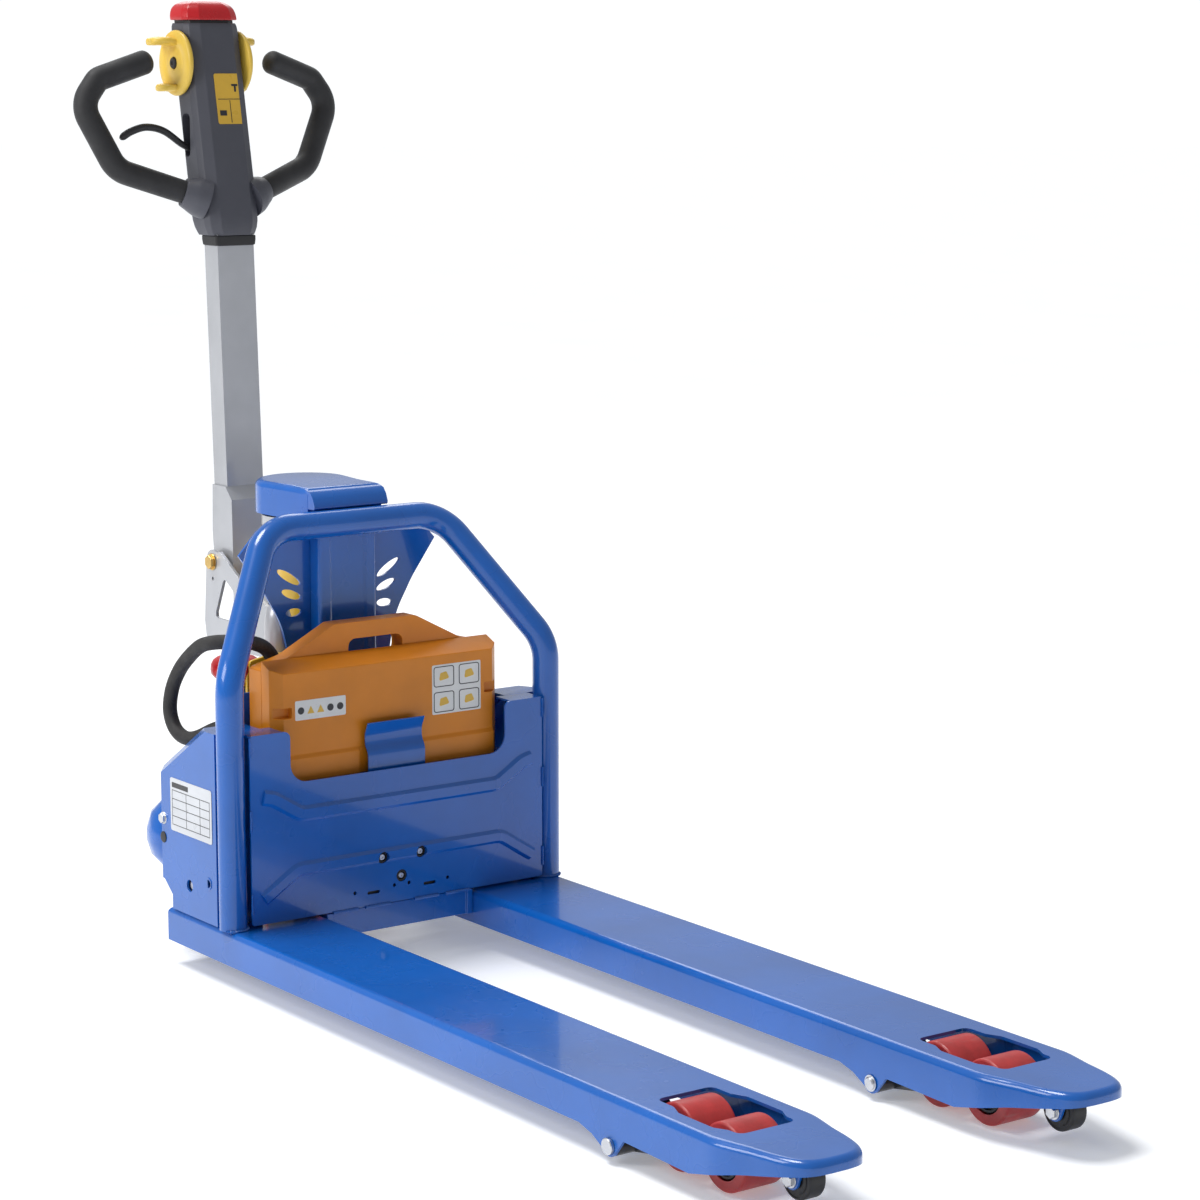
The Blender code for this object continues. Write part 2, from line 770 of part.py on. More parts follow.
def front_panel():
    """The pressed plate between the hoop's legs, with the battery bay cut into its top edge."""
    outline = mirrored(
        [
            (PANEL_HALF, CROSS_TOP + 0.002),
            (PANEL_HALF, HORN_TOP),
            (BAY_HALF, HORN_TOP),
            (BAY_HALF, BAY_FLOOR + BAY_CORNER),
            (BAY_HALF - BAY_CORNER, BAY_FLOOR),
        ]
    )
    holes = [list(arc(y, z, 0.009, 0, 330, 11)) for y, z in ((-0.031, 0.150), (0.031, 0.150), (0.0, 0.120))]
    panel = extruded("front_panel", outline, "YZ", -PANEL_THICK, 0.0, holes)
    inner = BATTERY_WIDE_HALF + 0.001
    for low, high in ((inner, PANEL_HALF), (-PANEL_HALF, -inner)):
        flange = block("horn_top", (SIDE_FRONT + GAP, low, HORN_TOP - PANEL_THICK), (-PANEL_THICK / 2, high, HORN_TOP))
        fuse(panel, flange)
    ribs = (
        [(-0.218, 0.254), (-0.200, 0.254), (-0.158, 0.2285), (0.158, 0.2285), (0.200, 0.254), (0.218, 0.254)],
        [(-0.215, 0.115), (-0.160, 0.149), (0.160, 0.149), (0.215, 0.115)],
    )
    for line in ribs:
        fuse(panel, extruded("rib", band(line, RIB_WIDTH), "YZ", -PANEL_THICK / 2, RIB_HEIGHT))
    finish(panel, BLUE)


def cross_member():
    """A channel between the forks at the heel, with a post at each end."""
    reach = FORK_INNER - GAP
    front = -PANEL_THICK - 0.002
    beam = block("cross_member", (front - CROSS_DEPTH, -reach, CROSS_BOTTOM), (front, reach, CROSS_TOP))
    wall = 0.004
    cut(beam, block("channel", (front - CROSS_DEPTH - 0.01, -reach + wall, CROSS_BOTTOM - 0.01), (front - wall, reach - wall, CROSS_TOP - wall)))
    for sign in SIDES.values():
        low, high = sorted((sign * reach, sign * (reach - 0.010)))
        fuse(beam, block("heel_post", (front - 0.002, low, CROSS_BOTTOM), (front + 0.003, high, CROSS_TOP)))
    finish(beam, BLUE)


def battery_tray():
    """The shelf and back wall that the battery stands in, welded to the deck behind them.

    The deck is cut round the steering unit and carries the post of the emergency stop.
    """
    half = OVERALL_WIDTH / 2 - SIDE_DEPTH - GAP
    low = TRAY_TOP - TRAY_THICK
    tray = block("battery_tray", (SIDE_REAR, -half, low), (-PANEL_THICK - GAP, half, TRAY_TOP))
    fuse(tray, block("tray_back", (TRAY_REAR - TRAY_THICK, -half, low), (TRAY_REAR, half, TRAY_TOP + TRAY_BACK)))
    cut(tray, rod("steering_hole", (STEER_X, 0, TRAY_TOP - 0.05), (STEER_X, 0, TRAY_TOP + 0.05), DECK_HOLE, 32))
    fuse(tray, rod("stop_post", (STOP_X, STOP_Y, TRAY_TOP - 0.001), (STOP_X, STOP_Y, STOP_POST_TOP), 0.016, 20))
    cut(tray, rod("stop_bore", (STOP_X, STOP_Y, 0.370), (STOP_X, STOP_Y, STOP_POST_TOP + 0.006), 0.0065, 12))
    finish(tray, BLUE)


def battery_clip():
    """The sprung sheet that holds the battery in its bay: it bulges to the battery and flares out at its top."""
    foot = TRAY_TOP + GAP
    line = [(-0.0100, foot), (-0.0100, BAY_FLOOR + 0.024), (-0.0180, BAY_FLOOR + 0.036), (-0.0180, BAY_FLOOR + 0.050), (-0.0090, BAY_FLOOR + 0.066)]
    finish(extruded("battery_clip", band(line, CLIP_THICK), "XZ", -CLIP_HALF, CLIP_HALF), BLUE)


def side_outline(inset):
    return [
        (SIDE_FRONT - inset, FORK_TOP + GAP - (0.01 if inset else 0)),
        (SIDE_FRONT - inset, SIDE_TOP - inset),
        (SIDE_SLOPE_X, SIDE_TOP - inset),
        (SIDE_REAR + inset, SIDE_SLOPE_LOW - inset / 2),
        (SIDE_REAR + inset, SIDE_REAR_BOTTOM),
        (SIDE_REAR + 0.017 + inset, SIDE_REAR_BOTTOM - 0.002),
        (SIDE_FOOT_X + inset, SIDE_REAR_BOTTOM - 0.020),
        (SIDE_FOOT_X + inset, FORK_TOP + GAP - (0.01 if inset else 0)),
    ]


def side_box(side, sign):
    """The pressed cover beside the battery: an open tray with a chamfer round its outer rear edges."""
    outer = sign * OVERALL_WIDTH / 2
    inner = sign * (OVERALL_WIDTH / 2 - SIDE_DEPTH)
    shell = chamfered_side(f"side_box_{side}", 0.0, inner, outer, sign)
    hollow = chamfered_side("side_hollow", SIDE_WALL, inner - sign * 0.01, outer - sign * SIDE_WALL, sign)
    cut(shell, hollow)
    bolt_hole = rod("bolt_recess", (-0.114, outer - sign * 0.02, 0.122), (-0.114, outer + sign * 0.01, 0.122), 0.0085, 16)
    slot = rod("oval_hole", (-0.061, outer - sign * 0.02, 0.136), (-0.061, outer + sign * 0.01, 0.136), 0.006, 12)
    cut(shell, bolt_hole, slot)
    finish(fuse(shell, caster_housing(sign)), BLUE)


def caster_housing(sign):
    """The domed housing that stands out behind the side box, over the caster."""
    y = sign * CASTER_Y
    profile = [
        (0.0, DOME_BOTTOM),
        (0.040, DOME_BOTTOM),
        (0.054, DOME_BOTTOM + 0.016),
        (DOME_RADIUS, DOME_BOTTOM + 0.036),
        (DOME_RADIUS, DOME_BOTTOM + 0.052),
        (0.053, DOME_BOTTOM + 0.075),
        (0.038, DOME_TOP - 0.005),
        (0.0, DOME_TOP),
    ]
    dome = turned("caster_housing", profile, (CASTER_X, y, 0), "Z", 20)
    bore = CASTER_STEM + PLAY
    cut(dome, rod("stem_hole", (CASTER_X, y, DOME_BOTTOM - 0.01), (CASTER_X, y, DOME_BOTTOM + 0.025), bore, 16))
    return cut(dome, block("side_box_room", (SIDE_REAR + 0.002, y - 0.1, 0.08), (SIDE_REAR + 0.1, y + 0.1, 0.25)))


def chamfered_side(name, inset, inner, outer, sign):
    made = extruded(name, side_outline(inset), "XZ", min(inner, outer), max(inner, outer))

    def rear_of_face(point):
        return abs(point.y - outer) < 1e-5 and point.x < SIDE_SLOPE_X + 1e-5 and point.z > SIDE_REAR_BOTTOM - 1e-5

    return bevel_edges(made, rear_of_face, SIDE_CHAMFER)


def caster(side, sign, swivel_joint, spin_joint):
    """A stabiliser caster under its domed housing, its wheel trailing forwards."""
    y = sign * CASTER_Y
    wheel_x = CASTER_X + CASTER_TRAIL
    low = CASTER_PLATE_TOP - 0.006
    yoke = rod(f"caster_yoke_{side}", (CASTER_X, y, low), (CASTER_X, y, CASTER_PLATE_TOP), 0.026, 20)
    gap = CASTER_WIDTH / 2 + 0.002
    cheek = [
        (CASTER_X - 0.018, low + 0.003),
        *arc(wheel_x, CASTER_RADIUS, 0.010, 200, 350, 5),
        (CASTER_X + 0.018, low + 0.003),
    ]
    for start in (y + gap, y - gap - 0.004):
        fuse(yoke, extruded("caster_cheek", cheek, "XZ", start, start + 0.004))
    fuse(yoke, rod("caster_axle", (wheel_x, y - gap - 0.006, CASTER_RADIUS), (wheel_x, y + gap + 0.006, CASTER_RADIUS), CASTER_AXLE, 12))
    fuse(yoke, rod("caster_stem", (CASTER_X, y, low), (CASTER_X, y, DOME_BOTTOM + 0.022), CASTER_STEM, 16))
    finish(yoke, ZINC, swivel_joint)
    wheel = ring(f"caster_wheel_{side}", (wheel_x, y, CASTER_RADIUS), CASTER_RADIUS, CASTER_AXLE + PLAY, CASTER_WIDTH, 20)
    finish(wheel, BLACK, spin_joint)


def tower_web():
    """The slotted plate of the lift tower, with the arched flange that ties it to the hoop."""
    top = FLANGE_TOP - 0.004
    lean = (HOOP_TOP_HALF - LEG_Y) / (HOOP_TOP_HEIGHT - HOOP_KNEE_HEIGHT)
    wing_z = 0.562
    wing = HOOP_TOP_HALF + (wing_z - HOOP_TOP_HEIGHT) * lean - 0.006
    outline = mirrored(
        [
            (WEB_FOOT_HALF, WEB_BOTTOM),
            (WEB_FOOT_HALF + 0.003, 0.410),
            (0.096, 0.458),
            (0.113, 0.491),
            (0.127, 0.516),
            (wing, wing_z),
            (HOOP_TOP_HALF - 0.010, top - 0.004),
            (HOOP_TOP_HALF - 0.035, top),
        ]
    )
    slots = []
    for sign in SIDES.values():
        for start, end in (((0.063, 0.514), (0.100, 0.537)), ((0.062, 0.495), (0.093, 0.507)), ((0.062, 0.476), (0.087, 0.475))):
            slots.append(slot_outline(start, end, 0.0055, sign))
    web = extruded("tower_web", outline, "YZ", WEB_X - WEB_THICK, WEB_X, slots)
    front = HOOP_TOP_X - TUBE_RADIUS - 0.001
    half = HOOP_TOP_HALF - 0.035
    fuse(web, block("tower_flange", (WEB_X - WEB_THICK, -half, top), (front, half, FLANGE_TOP)))
    finish(web, BLUE)


def slot_outline(start, end, half, sign):
    """A leaf-shaped slot between two points, mirrored to its side."""
    start, end = Vector(start), Vector(end)
    middle, along = (start + end) / 2, end - start
    length, angle = along.length / 2, math.atan2(along.y, along.x)
    made = []
    for i in range(12):
        a = 2 * math.pi * i / 12
        u, v = length * math.cos(a), half * math.sin(a)
        made.append((sign * (middle.x + u * math.cos(angle) - v * math.sin(angle)), middle.y + u * math.sin(angle) + v * math.cos(angle)))
    return made


def tower_column():
    half, foot = COLUMN_HALF, TRAY_TOP + GAP
    column = block("tower_column", (WEB_X + GAP, -half, foot), (COLUMN_FRONT, half, COLUMN_TOP), 0.003)
    wall = 0.004
    cut(column, block("column_hollow", (WEB_X + GAP + wall, -half + wall, foot - 0.01), (COLUMN_FRONT - wall, half - wall, COLUMN_TOP - wall)))
    finish(column, BLUE)


def cap_outline(inset):
    """Half of the tower cap's plan, from the middle of its front to the round end over the steering axis."""
    half = CAP_SIDE_HALF - inset
    return [
        (CAP_FRONT - 0.018 - inset, CAP_LIP_HALF - inset),
        (-0.190, half),
        *arc(STEER_X, 0, half + 0.005, 70, 110, 3),
        *arc(STEER_X, 0, half + 0.005, 125, 180, 4),
    ]


def tower_cap():
    """The pressed cover on the tower: a flat top, a lip over the hoop's bar and a round end over the ram."""
    cap = extruded("tower_cap", plan(cap_outline(0.0)[:-1] + [(STEER_X - CAP_SIDE_HALF - 0.005, 0.0)], 0)[:-1], "XY", CAP_SKIRT, CAP_TOP)
    bevel_edges(cap, lambda p: p.z > CAP_TOP - 1e-5, 0.009, 2)
    lip = extruded(
        "cap_lip",
        [(CAP_FRONT - 0.025, CAP_LIP), (CAP_FRONT, CAP_LIP), (CAP_FRONT, CAP_LIP + 0.004), (CAP_FRONT - 0.010, CAP_TOP - 0.007), (CAP_FRONT - 0.025, CAP_TOP - 0.007)],
        "XZ",
        -CAP_LIP_HALF,
        CAP_LIP_HALF,
    )
    fuse(cap, lip)
    inner = CAP_SIDE_HALF - CAP_WALL
    hollow = block("cap_hollow", (STEER_X, -inner, CAP_SKIRT - 0.01), (CAP_FRONT - 0.024, inner, CAP_TOP - CAP_WALL))
    round_hollow = rod("cap_round_hollow", (STEER_X, 0, CAP_SKIRT - 0.01), (STEER_X, 0, CAP_TOP - CAP_WALL), inner, 24)
    finish(cut(cap, hollow, round_hollow), BLUE)


def ram_and_cylinder(lift_joint):
    place = (STEER_X, 0, 0)
    ram = rod("lift_ram", (STEER_X, 0, RAM_BOTTOM), (STEER_X, 0, RAM_TOP), RAM_RADIUS, 24)
    finish(ram, CHROME)
    bore = RAM_RADIUS + PLAY
    profile = [
        (0.0, CYLINDER_BOTTOM),
        (CYLINDER_RADIUS - 0.002, CYLINDER_BOTTOM),
        (CYLINDER_RADIUS, CYLINDER_BOTTOM + 0.002),
        (CYLINDER_RADIUS, CYLINDER_TOP - 0.006),
        (CYLINDER_RADIUS - 0.006, CYLINDER_TOP),
        (bore, CYLINDER_TOP),
        (bore, CYLINDER_FLOOR),
        (0.0, CYLINDER_FLOOR),
    ]
    finish(turned("lift_cylinder", profile, place, "Z", 24), YELLOW, lift_joint)
    collar = turned(
        "ram_collar",
        [(bore, COLLAR_BOTTOM), (COLLAR_RADIUS, COLLAR_BOTTOM), (COLLAR_RADIUS, CAP_SKIRT - 0.004), (bore, CAP_SKIRT - 0.004)],
        place,
        "Z",
        24,
    )
    for angle in (100, 160, 220, 280):
        x = STEER_X + (COLLAR_RADIUS - 0.011) * math.cos(math.radians(angle))
        y = (COLLAR_RADIUS - 0.011) * math.sin(math.radians(angle))
        fuse(collar, rod("collar_bolt", (x, y, COLLAR_BOTTOM - 0.006), (x, y, COLLAR_BOTTOM + 0.004), 0.007, 6))
    finish(collar, ZINC)


def power_pack():
    """The hydraulic power pack across the chassis under the battery: motor, oil tank and filler cap."""
    x, z = -0.062, 0.175
    tank = block("power_pack", (x - 0.034, 0.0, z - 0.045), (x + 0.036, 0.150, z + 0.045), 0.006)
    fuse(tank, rod("filler_cap", (x, 0.110, z + 0.040), (x, 0.110, z + 0.055), 0.012, 12))
    fuse(tank, rod("pump_motor", (x, -0.150, z), (x, 0.005, z), 0.036, 24))
    fuse(tank, rod("motor_end", (x, -0.158, z), (x, -0.145, z), 0.022, 16))
    finish(tank, DARK_STEEL)


def emergency_stop(joint):
    x, y = STOP_X, STOP_Y
    profile = [(0.0, 0.3755), (0.006, 0.3755), (0.006, 0.391), (0.024, 0.391), (0.033, 0.397), (0.035, 0.408), (0.031, 0.419), (0.0, 0.424)]
    finish(turned("emergency_stop", profile, (x, y, 0), "Z", 20), RED, joint)


# ---------------------------------------------------------------- battery


def battery(joint):
    """Two shells: the front one with the grip over its shoulder, and the flat rear one behind the seam."""
    chamfer = BATTERY_WIDE_HALF - BATTERY_HALF
    body_plan = [(BATTERY_FRONT, BATTERY_HALF), (BATTERY_FRONT - chamfer, BATTERY_WIDE_HALF), (BATTERY_SEAM + GAP / 2, BATTERY_WIDE_HALF)]
    front = extruded("battery_front_shell", plan(body_plan, 0), "XY", BATTERY_BOTTOM, BATTERY_SHOULDER)
    slope = extruded(
        "front_slope",
        [(BATTERY_FRONT + 0.01, BATTERY_EAVES - 0.004), (HANDLE_FRONT, BATTERY_SHOULDER), (HANDLE_FRONT, 0.5), (BATTERY_FRONT + 0.01, 0.5)],
        "XZ",
        -0.25,
        0.25,
    )
    cut(front, slope)
    ridge = extruded(
        "lower_ridge",
        [(BATTERY_FRONT - 0.002, BATTERY_BOTTOM), (BATTERY_FRONT + 0.004, BATTERY_BOTTOM), (BATTERY_FRONT + 0.004, 0.300), (BATTERY_FRONT - 0.002, 0.307)],
        "XZ",
        -BATTERY_HALF,
        BATTERY_HALF,
    )
    fuse(front, ridge)
    finish(front, ORANGE, joint)

    rear_plan = [(BATTERY_SEAM - GAP / 2, BATTERY_WIDE_HALF), (BATTERY_REAR, BATTERY_WIDE_HALF)]
    rear = extruded("battery_rear_shell", plan(rear_plan, 0), "XY", BATTERY_BOTTOM, BATTERY_SHOULDER)
    gable = mirrored([(BATTERY_WIDE_HALF, 0.400), (BATTERY_WIDE_HALF, 0.4215), (0.139, BATTERY_SHOULDER), (HANDLE_HALF, BATTERY_TOP)])
    hole = rounded(
        [(-GRIP_HOLE_HALF, GRIP_HOLE_BOTTOM), (GRIP_HOLE_HALF, GRIP_HOLE_BOTTOM), (GRIP_HOLE_HALF, GRIP_HOLE_TOP), (-GRIP_HOLE_HALF, GRIP_HOLE_TOP)],
        0.006,
        2,
    )
    handle = extruded("battery_handle", gable, "YZ", HANDLE_REAR, BATTERY_SEAM - GAP / 2 - 0.001, [hole])
    hollow = block("under_grip", (HANDLE_REAR - 0.01, -GRIP_HOLE_HALF, GRIP_HOLE_BOTTOM), (BATTERY_SEAM + 0.01, GRIP_HOLE_HALF, GRIP_HOLE_TOP))
    cut(rear, hollow)
    fuse(rear, handle)
    finish(rear, ORANGE, joint)


# ---------------------------------------------------------------- drive unit


def drive_unit(steer_joint, wheel_joint):
    axis_z = WHEEL_RADIUS
    cheek_in = WHEEL_WIDTH / 2 + 0.005
    low = YOKE_TOP - YOKE_PLATE
    yoke = rod("drive_yoke", (STEER_X, 0, low), (STEER_X, 0, YOKE_TOP), 0.070, 24)
    cheek = [
        (STEER_X - 0.045, low + 0.004),
        *arc(STEER_X, axis_z, 0.032, 200, 340, 6),
        (STEER_X + 0.045, low + 0.004),
    ]
    for start in (cheek_in, -cheek_in - CHEEK_THICK):
        fuse(yoke, extruded("drive_cheek", cheek, "XZ", start, start + CHEEK_THICK))
    reach = cheek_in + CHEEK_THICK
    fuse(yoke, rod("drive_axle", (STEER_X, -reach - 0.006, axis_z), (STEER_X, reach, axis_z), WHEEL_AXLE, 20))
    sleeve_top = BRACKET_BOTTOM - GAP
    wall = RING_INNER + SLEEVE_WALL
    fuse(yoke, rod("sleeve", (STEER_X, 0, YOKE_TOP - 0.002), (STEER_X, 0, sleeve_top), wall, 24))
    cut(yoke, rod("sleeve_bore", (STEER_X, 0, CYLINDER_BOTTOM - GAP), (STEER_X, 0, sleeve_top + 0.01), RING_INNER, 24))
    finish(yoke, DARK_STEEL, steer_joint)

    motor_start = reach + GAP
    motor = rod("drive_motor", (STEER_X, motor_start, axis_z + 0.020), (STEER_X, motor_start + MOTOR_LENGTH, axis_z + 0.020), MOTOR_RADIUS, 28)
    finish(motor, BLACK, steer_joint)

    axis = (STEER_X, 0, axis_z)
    core = WHEEL_RADIUS - TYRE_DEPTH
    finish(ring("drive_tyre", axis, WHEEL_RADIUS, core, WHEEL_WIDTH, WHEEL_SIDES, 0.005), RED_PU, wheel_joint)
    finish(ring("drive_hub", axis, inside(core, WHEEL_SIDES), WHEEL_AXLE + PLAY, WHEEL_WIDTH - 0.010, 18), DARK_STEEL, wheel_joint)


def tiller_bracket(steer_joint):
    """The steering head that the tiller is hinged in: a collar round the cylinder and two cut-out cheeks."""
    inner, thick = BRACKET_HALF, BRACKET_THICK
    bottom = BRACKET_BOTTOM
    collar = turned(
        "tiller_bracket",
        [(RING_INNER, bottom), (RING_INNER + SLEEVE_WALL, bottom), (RING_INNER + SLEEVE_WALL, bottom + 0.044), (RING_INNER, bottom + 0.044)],
        (STEER_X, 0, 0),
        "Z",
        24,
    )
    px, pz = TILLER_PIVOT_X, TILLER_PIVOT_Z
    cheek = [
        (STEER_X + 0.030, bottom),
        (STEER_X + 0.030, bottom + 0.040),
        (STEER_X - 0.020, 0.462),
        (STEER_X - 0.095, 0.487),
        (px + 0.022, pz + 0.017),
        *arc(px, pz, 0.018, 60, 180, 5),
        (px - 0.026, 0.420),
        (px - 0.022, bottom + 0.010),
        (px - 0.008, bottom),
    ]
    window = rounded([(px + 0.004, 0.428), (px + 0.033, 0.490), (px + 0.060, 0.474), (px + 0.060, 0.428)], 0.006, 2)
    bolt_hole = list(arc(px, pz, TILLER_BOLT + PLAY, 0, 330, 11))
    small_hole = list(arc(px, pz - 0.025, 0.003, 0, 300, 5))
    for start in (inner, -inner - thick):
        fuse(collar, extruded("bracket_cheek", cheek, "XZ", start, start + thick, [window, bolt_hole, small_hole]))
    floor = block("bracket_floor", (px - 0.015, -inner - 0.001, bottom), (STEER_X - 0.043, inner + 0.001, bottom + 0.007))
    finish(fuse(collar, floor), SILVER, steer_joint)

    reach = inner + thick + GAP
    bolt = rod("tiller_pivot_bolt", (px, -reach - 0.001, pz), (px, reach + 0.001, pz), TILLER_BOLT, 14)
    fuse(bolt, rod("bolt_head", (px, -reach - 0.008, pz), (px, -reach, pz), 0.0125, 6))
    fuse(bolt, rod("bolt_nut", (px, reach, pz), (px, reach + 0.007, pz), 0.0125, 6))
    finish(bolt, BRASS, steer_joint)


# ---------------------------------------------------------------- tiller


def lean_x(low_x, low_z, lean, z):
    """X of a line that leans back as it rises."""
    return low_x - (z - low_z) * math.tan(lean)


def tiller_arm(joint):
    """A rectangular tube on a folded yoke that straddles the pivot bolt."""
    top, foot = ARM_TOP, CREASE - 0.010

    def front(z):
        return lean_x(ARM_FRONT_LOW, CREASE, ARM_LEAN, z)

    half = ARM_WIDTH / 2
    bar_outline = [(front(foot), foot), (front(top), top), (front(top) - ARM_DEPTH, top), (front(foot) - ARM_DEPTH, foot)]
    arm = extruded("tiller_arm", bar_outline, "XZ", -half, half)
    px, pz = TILLER_PIVOT_X, TILLER_PIVOT_Z
    yoke_outline = [
        (front(CREASE), CREASE + 0.002),
        (-0.397, CREASE - 0.016),
        (-0.395, 0.500),
        (-0.400, 0.482),
        (px + 0.013, pz - 0.010),
        *arc(px, pz, 0.016, 300, 180, 5),
        (px - 0.020, pz + 0.045),
        (front(CREASE) - ARM_DEPTH, CREASE + 0.002),
    ]
    fuse(arm, extruded("yoke", yoke_outline, "XZ", -YOKE_HALF, YOKE_HALF))
    wall = 0.004
    yoke_hollow = [(-0.397 - wall, CREASE - 0.016), (-0.397 - wall, 0.46), (px - 0.05, 0.46), (px - 0.05, CREASE - 0.016)]
    cut(arm, extruded("yoke_hollow", yoke_hollow, "XZ", -YOKE_HALF + wall, YOKE_HALF - wall))
    bore_low = CREASE - 0.020
    bore_outline = [
        (front(bore_low) - ARM_WALL, bore_low),
        (front(top + 0.01) - ARM_WALL, top + 0.01),
        (front(top + 0.01) - ARM_DEPTH + ARM_WALL, top + 0.01),
        (front(bore_low) - ARM_DEPTH + ARM_WALL, bore_low),
    ]
    cut(arm, extruded("arm_bore", bore_outline, "XZ", -half + ARM_WALL, half - ARM_WALL))
    cut(arm, rod("pivot_bore", (px, -0.05, pz), (px, 0.05, pz), TILLER_BOLT + PLAY, 14))
    finish(arm, SILVER, joint)

    turns, per_turn, coil = 4, 9, 0.013
    reach = 0.020
    helix = [
        (
            px + coil * math.cos(2 * math.pi * i / per_turn),
            -reach + 2 * reach * i / (turns * per_turn),
            pz + coil * math.sin(2 * math.pi * i / per_turn),
        )
        for i in range(turns * per_turn + 1)
    ]
    finish(tube("tiller_spring", helix, 0.002, 1), DARK_STEEL, joint)


def head_section(z, grow=0.0):
    """The head's section at a height: a flat front with chamfered corners and a rounded back."""
    front = lean_x(HEAD_FRONT_LOW, HEAD_BOTTOM, HEAD_LEAN, z) + grow
    back = front - HEAD_DEPTH - 2 * grow
    half = HEAD_HALF + grow
    return [
        (front, 0.026),
        (front - 0.009, half - 0.005),
        (front - 0.018, half),
        (back + 0.022, half),
        (back + 0.006, half - 0.010),
        (back, half - 0.026),
    ]


def loft(name, rings):
    """A closed body through rings of points with equal counts, capped at both ends."""
    bm = bmesh.new()
    loops = [[bm.verts.new(p) for p in ring] for ring in rings]
    for low, high in zip(loops, loops[1:]):
        for i in range(len(low)):
            j = (i + 1) % len(low)
            bm.faces.new((low[i], low[j], high[j], high[i]))
    bm.faces.new(loops[0])
    bm.faces.new(loops[-1])
    return object_from(bm, name)


def head_ring(z, grow=0.0, draw_in=0.0):
    half = head_section(z, grow)
    middle = (half[0][0] + half[-1][0]) / 2
    ring = [(middle + (x - middle) * (1 - draw_in), y * (1 - draw_in), z) for x, y in half]
    return ring + [(x, -y, z) for x, y, z in reversed(ring)]


def head(joint, button_joint):
    rings = [
        head_ring(HEAD_BOTTOM, 0, 0.16),
        head_ring(HEAD_BOTTOM + 0.010, 0, 0.06),
        head_ring(HEAD_BOTTOM + 0.028),
        head_ring(HEAD_TOP - 0.060),
        head_ring(HEAD_TOP - 0.006),
        head_ring(HEAD_TOP, 0, 0.05),
    ]
    body = loft("head_housing", rings)
    slot_x, slot_z = -0.4905, 1.128
    reach = HEAD_HALF + 0.01
    slot = block("lever_slot", (slot_x - 0.011, -reach, slot_z - 0.032), (slot_x + 0.011, -0.020, slot_z + 0.032))
    cut(body, slot)

    for sign in SIDES.values():
        root, along = grip_root(sign)
        fuse(body, rod("grip_boss", root - along * 0.036, root, 0.030, 16, 0.021))
        axle = rod("paddle_axle", (PADDLE_X, sign * (HEAD_HALF - 0.01), PADDLE_Z), (PADDLE_X, sign * (HEAD_HALF + 0.010), PADDLE_Z), PADDLE_BORE - PLAY, 16)
        fuse(body, axle)
    arm_hole_low = HEAD_BOTTOM - 0.01

    def front(z):
        return lean_x(ARM_FRONT_LOW, CREASE, ARM_LEAN, z) + GAP

    socket = [
        (front(arm_hole_low), arm_hole_low),
        (front(ARM_TOP + 0.001), ARM_TOP + 0.001),
        (front(ARM_TOP + 0.001) - ARM_DEPTH - 2 * GAP, ARM_TOP + 0.001),
        (front(arm_hole_low) - ARM_DEPTH - 2 * GAP, arm_hole_low),
    ]
    side = ARM_WIDTH / 2 + GAP
    cut(body, extruded("arm_socket", socket, "XZ", -side, side))
    finish(body, ANTHRACITE, joint)

    lift = GAP + 0.0042
    cap_rings = [
        head_ring(HEAD_TOP + lift, 0.001, 0.02),
        head_ring(HEAD_TOP + lift + 0.010, 0.001, 0.04),
        head_ring(HEAD_TOP + lift + 0.021, 0.0, 0.16),
        head_ring(HEAD_TOP + lift + 0.027, 0.0, 0.42),
    ]
    finish(loft("belly_button", cap_rings), RED, button_joint)


def paddle(side, sign, joint):
    """A butterfly throttle paddle: a disc on the head's side with a horned thumb tab standing out of it."""
    low, high = sorted((sign * PADDLE_IN, sign * PADDLE_OUT))
    disc = extruded(f"paddle_{side}", list(arc(PADDLE_X, PADDLE_Z, PADDLE_RADIUS, 0, 340, 17)), "XZ", low, high)
    for lift, reach, width in ((0.030, 0.039, 0.013), (-0.036, 0.024, 0.012)):
        inner = sign * (PADDLE_OUT - 0.003)
        outer = sign * (PADDLE_IN + reach)
        a, b = sorted((inner, outer))
        tab = block("thumb_tab", (PADDLE_X - 0.034, a, PADDLE_Z + lift - width / 2), (PADDLE_X + 0.012, b, PADDLE_Z + lift + width / 2), 0.003)
        fuse(disc, tab)
    bore = rod("paddle_bore", (PADDLE_X, low - 0.01, PADDLE_Z), (PADDLE_X, high + 0.01, PADDLE_Z), PADDLE_BORE, 16)
    cut(disc, bore)
    finish(disc, YELLOW, joint)


def grip_root(sign):
    """Where a grip meets the boss on the head's side, and the way it points there."""
    root = Vector((-0.4635, sign * (HEAD_HALF + 0.0215), 1.0475))
    return root, (Vector((-0.492, sign * 0.158, 1.080)) - root).normalized()


def grip_loop(side, sign, joint):
    """A D-shaped grip: it leaves the head's boss, runs out and up and comes back to a free end by the paddle."""
    root, along = grip_root(sign)
    corners = [
        root + along * GAP,
        (-0.492, sign * 0.158, 1.080),
        (-0.507, sign * 0.203, 1.172),
        (-0.508, sign * 0.176, 1.208),
        (-0.497, sign * 0.094, 1.236),
    ]
    path = path_with_bends(corners, [0.042, 0.036, 0.018], 4)
    finish(tube(f"grip_loop_{side}", path, GRIP_RADIUS, 3), BLACK, joint)


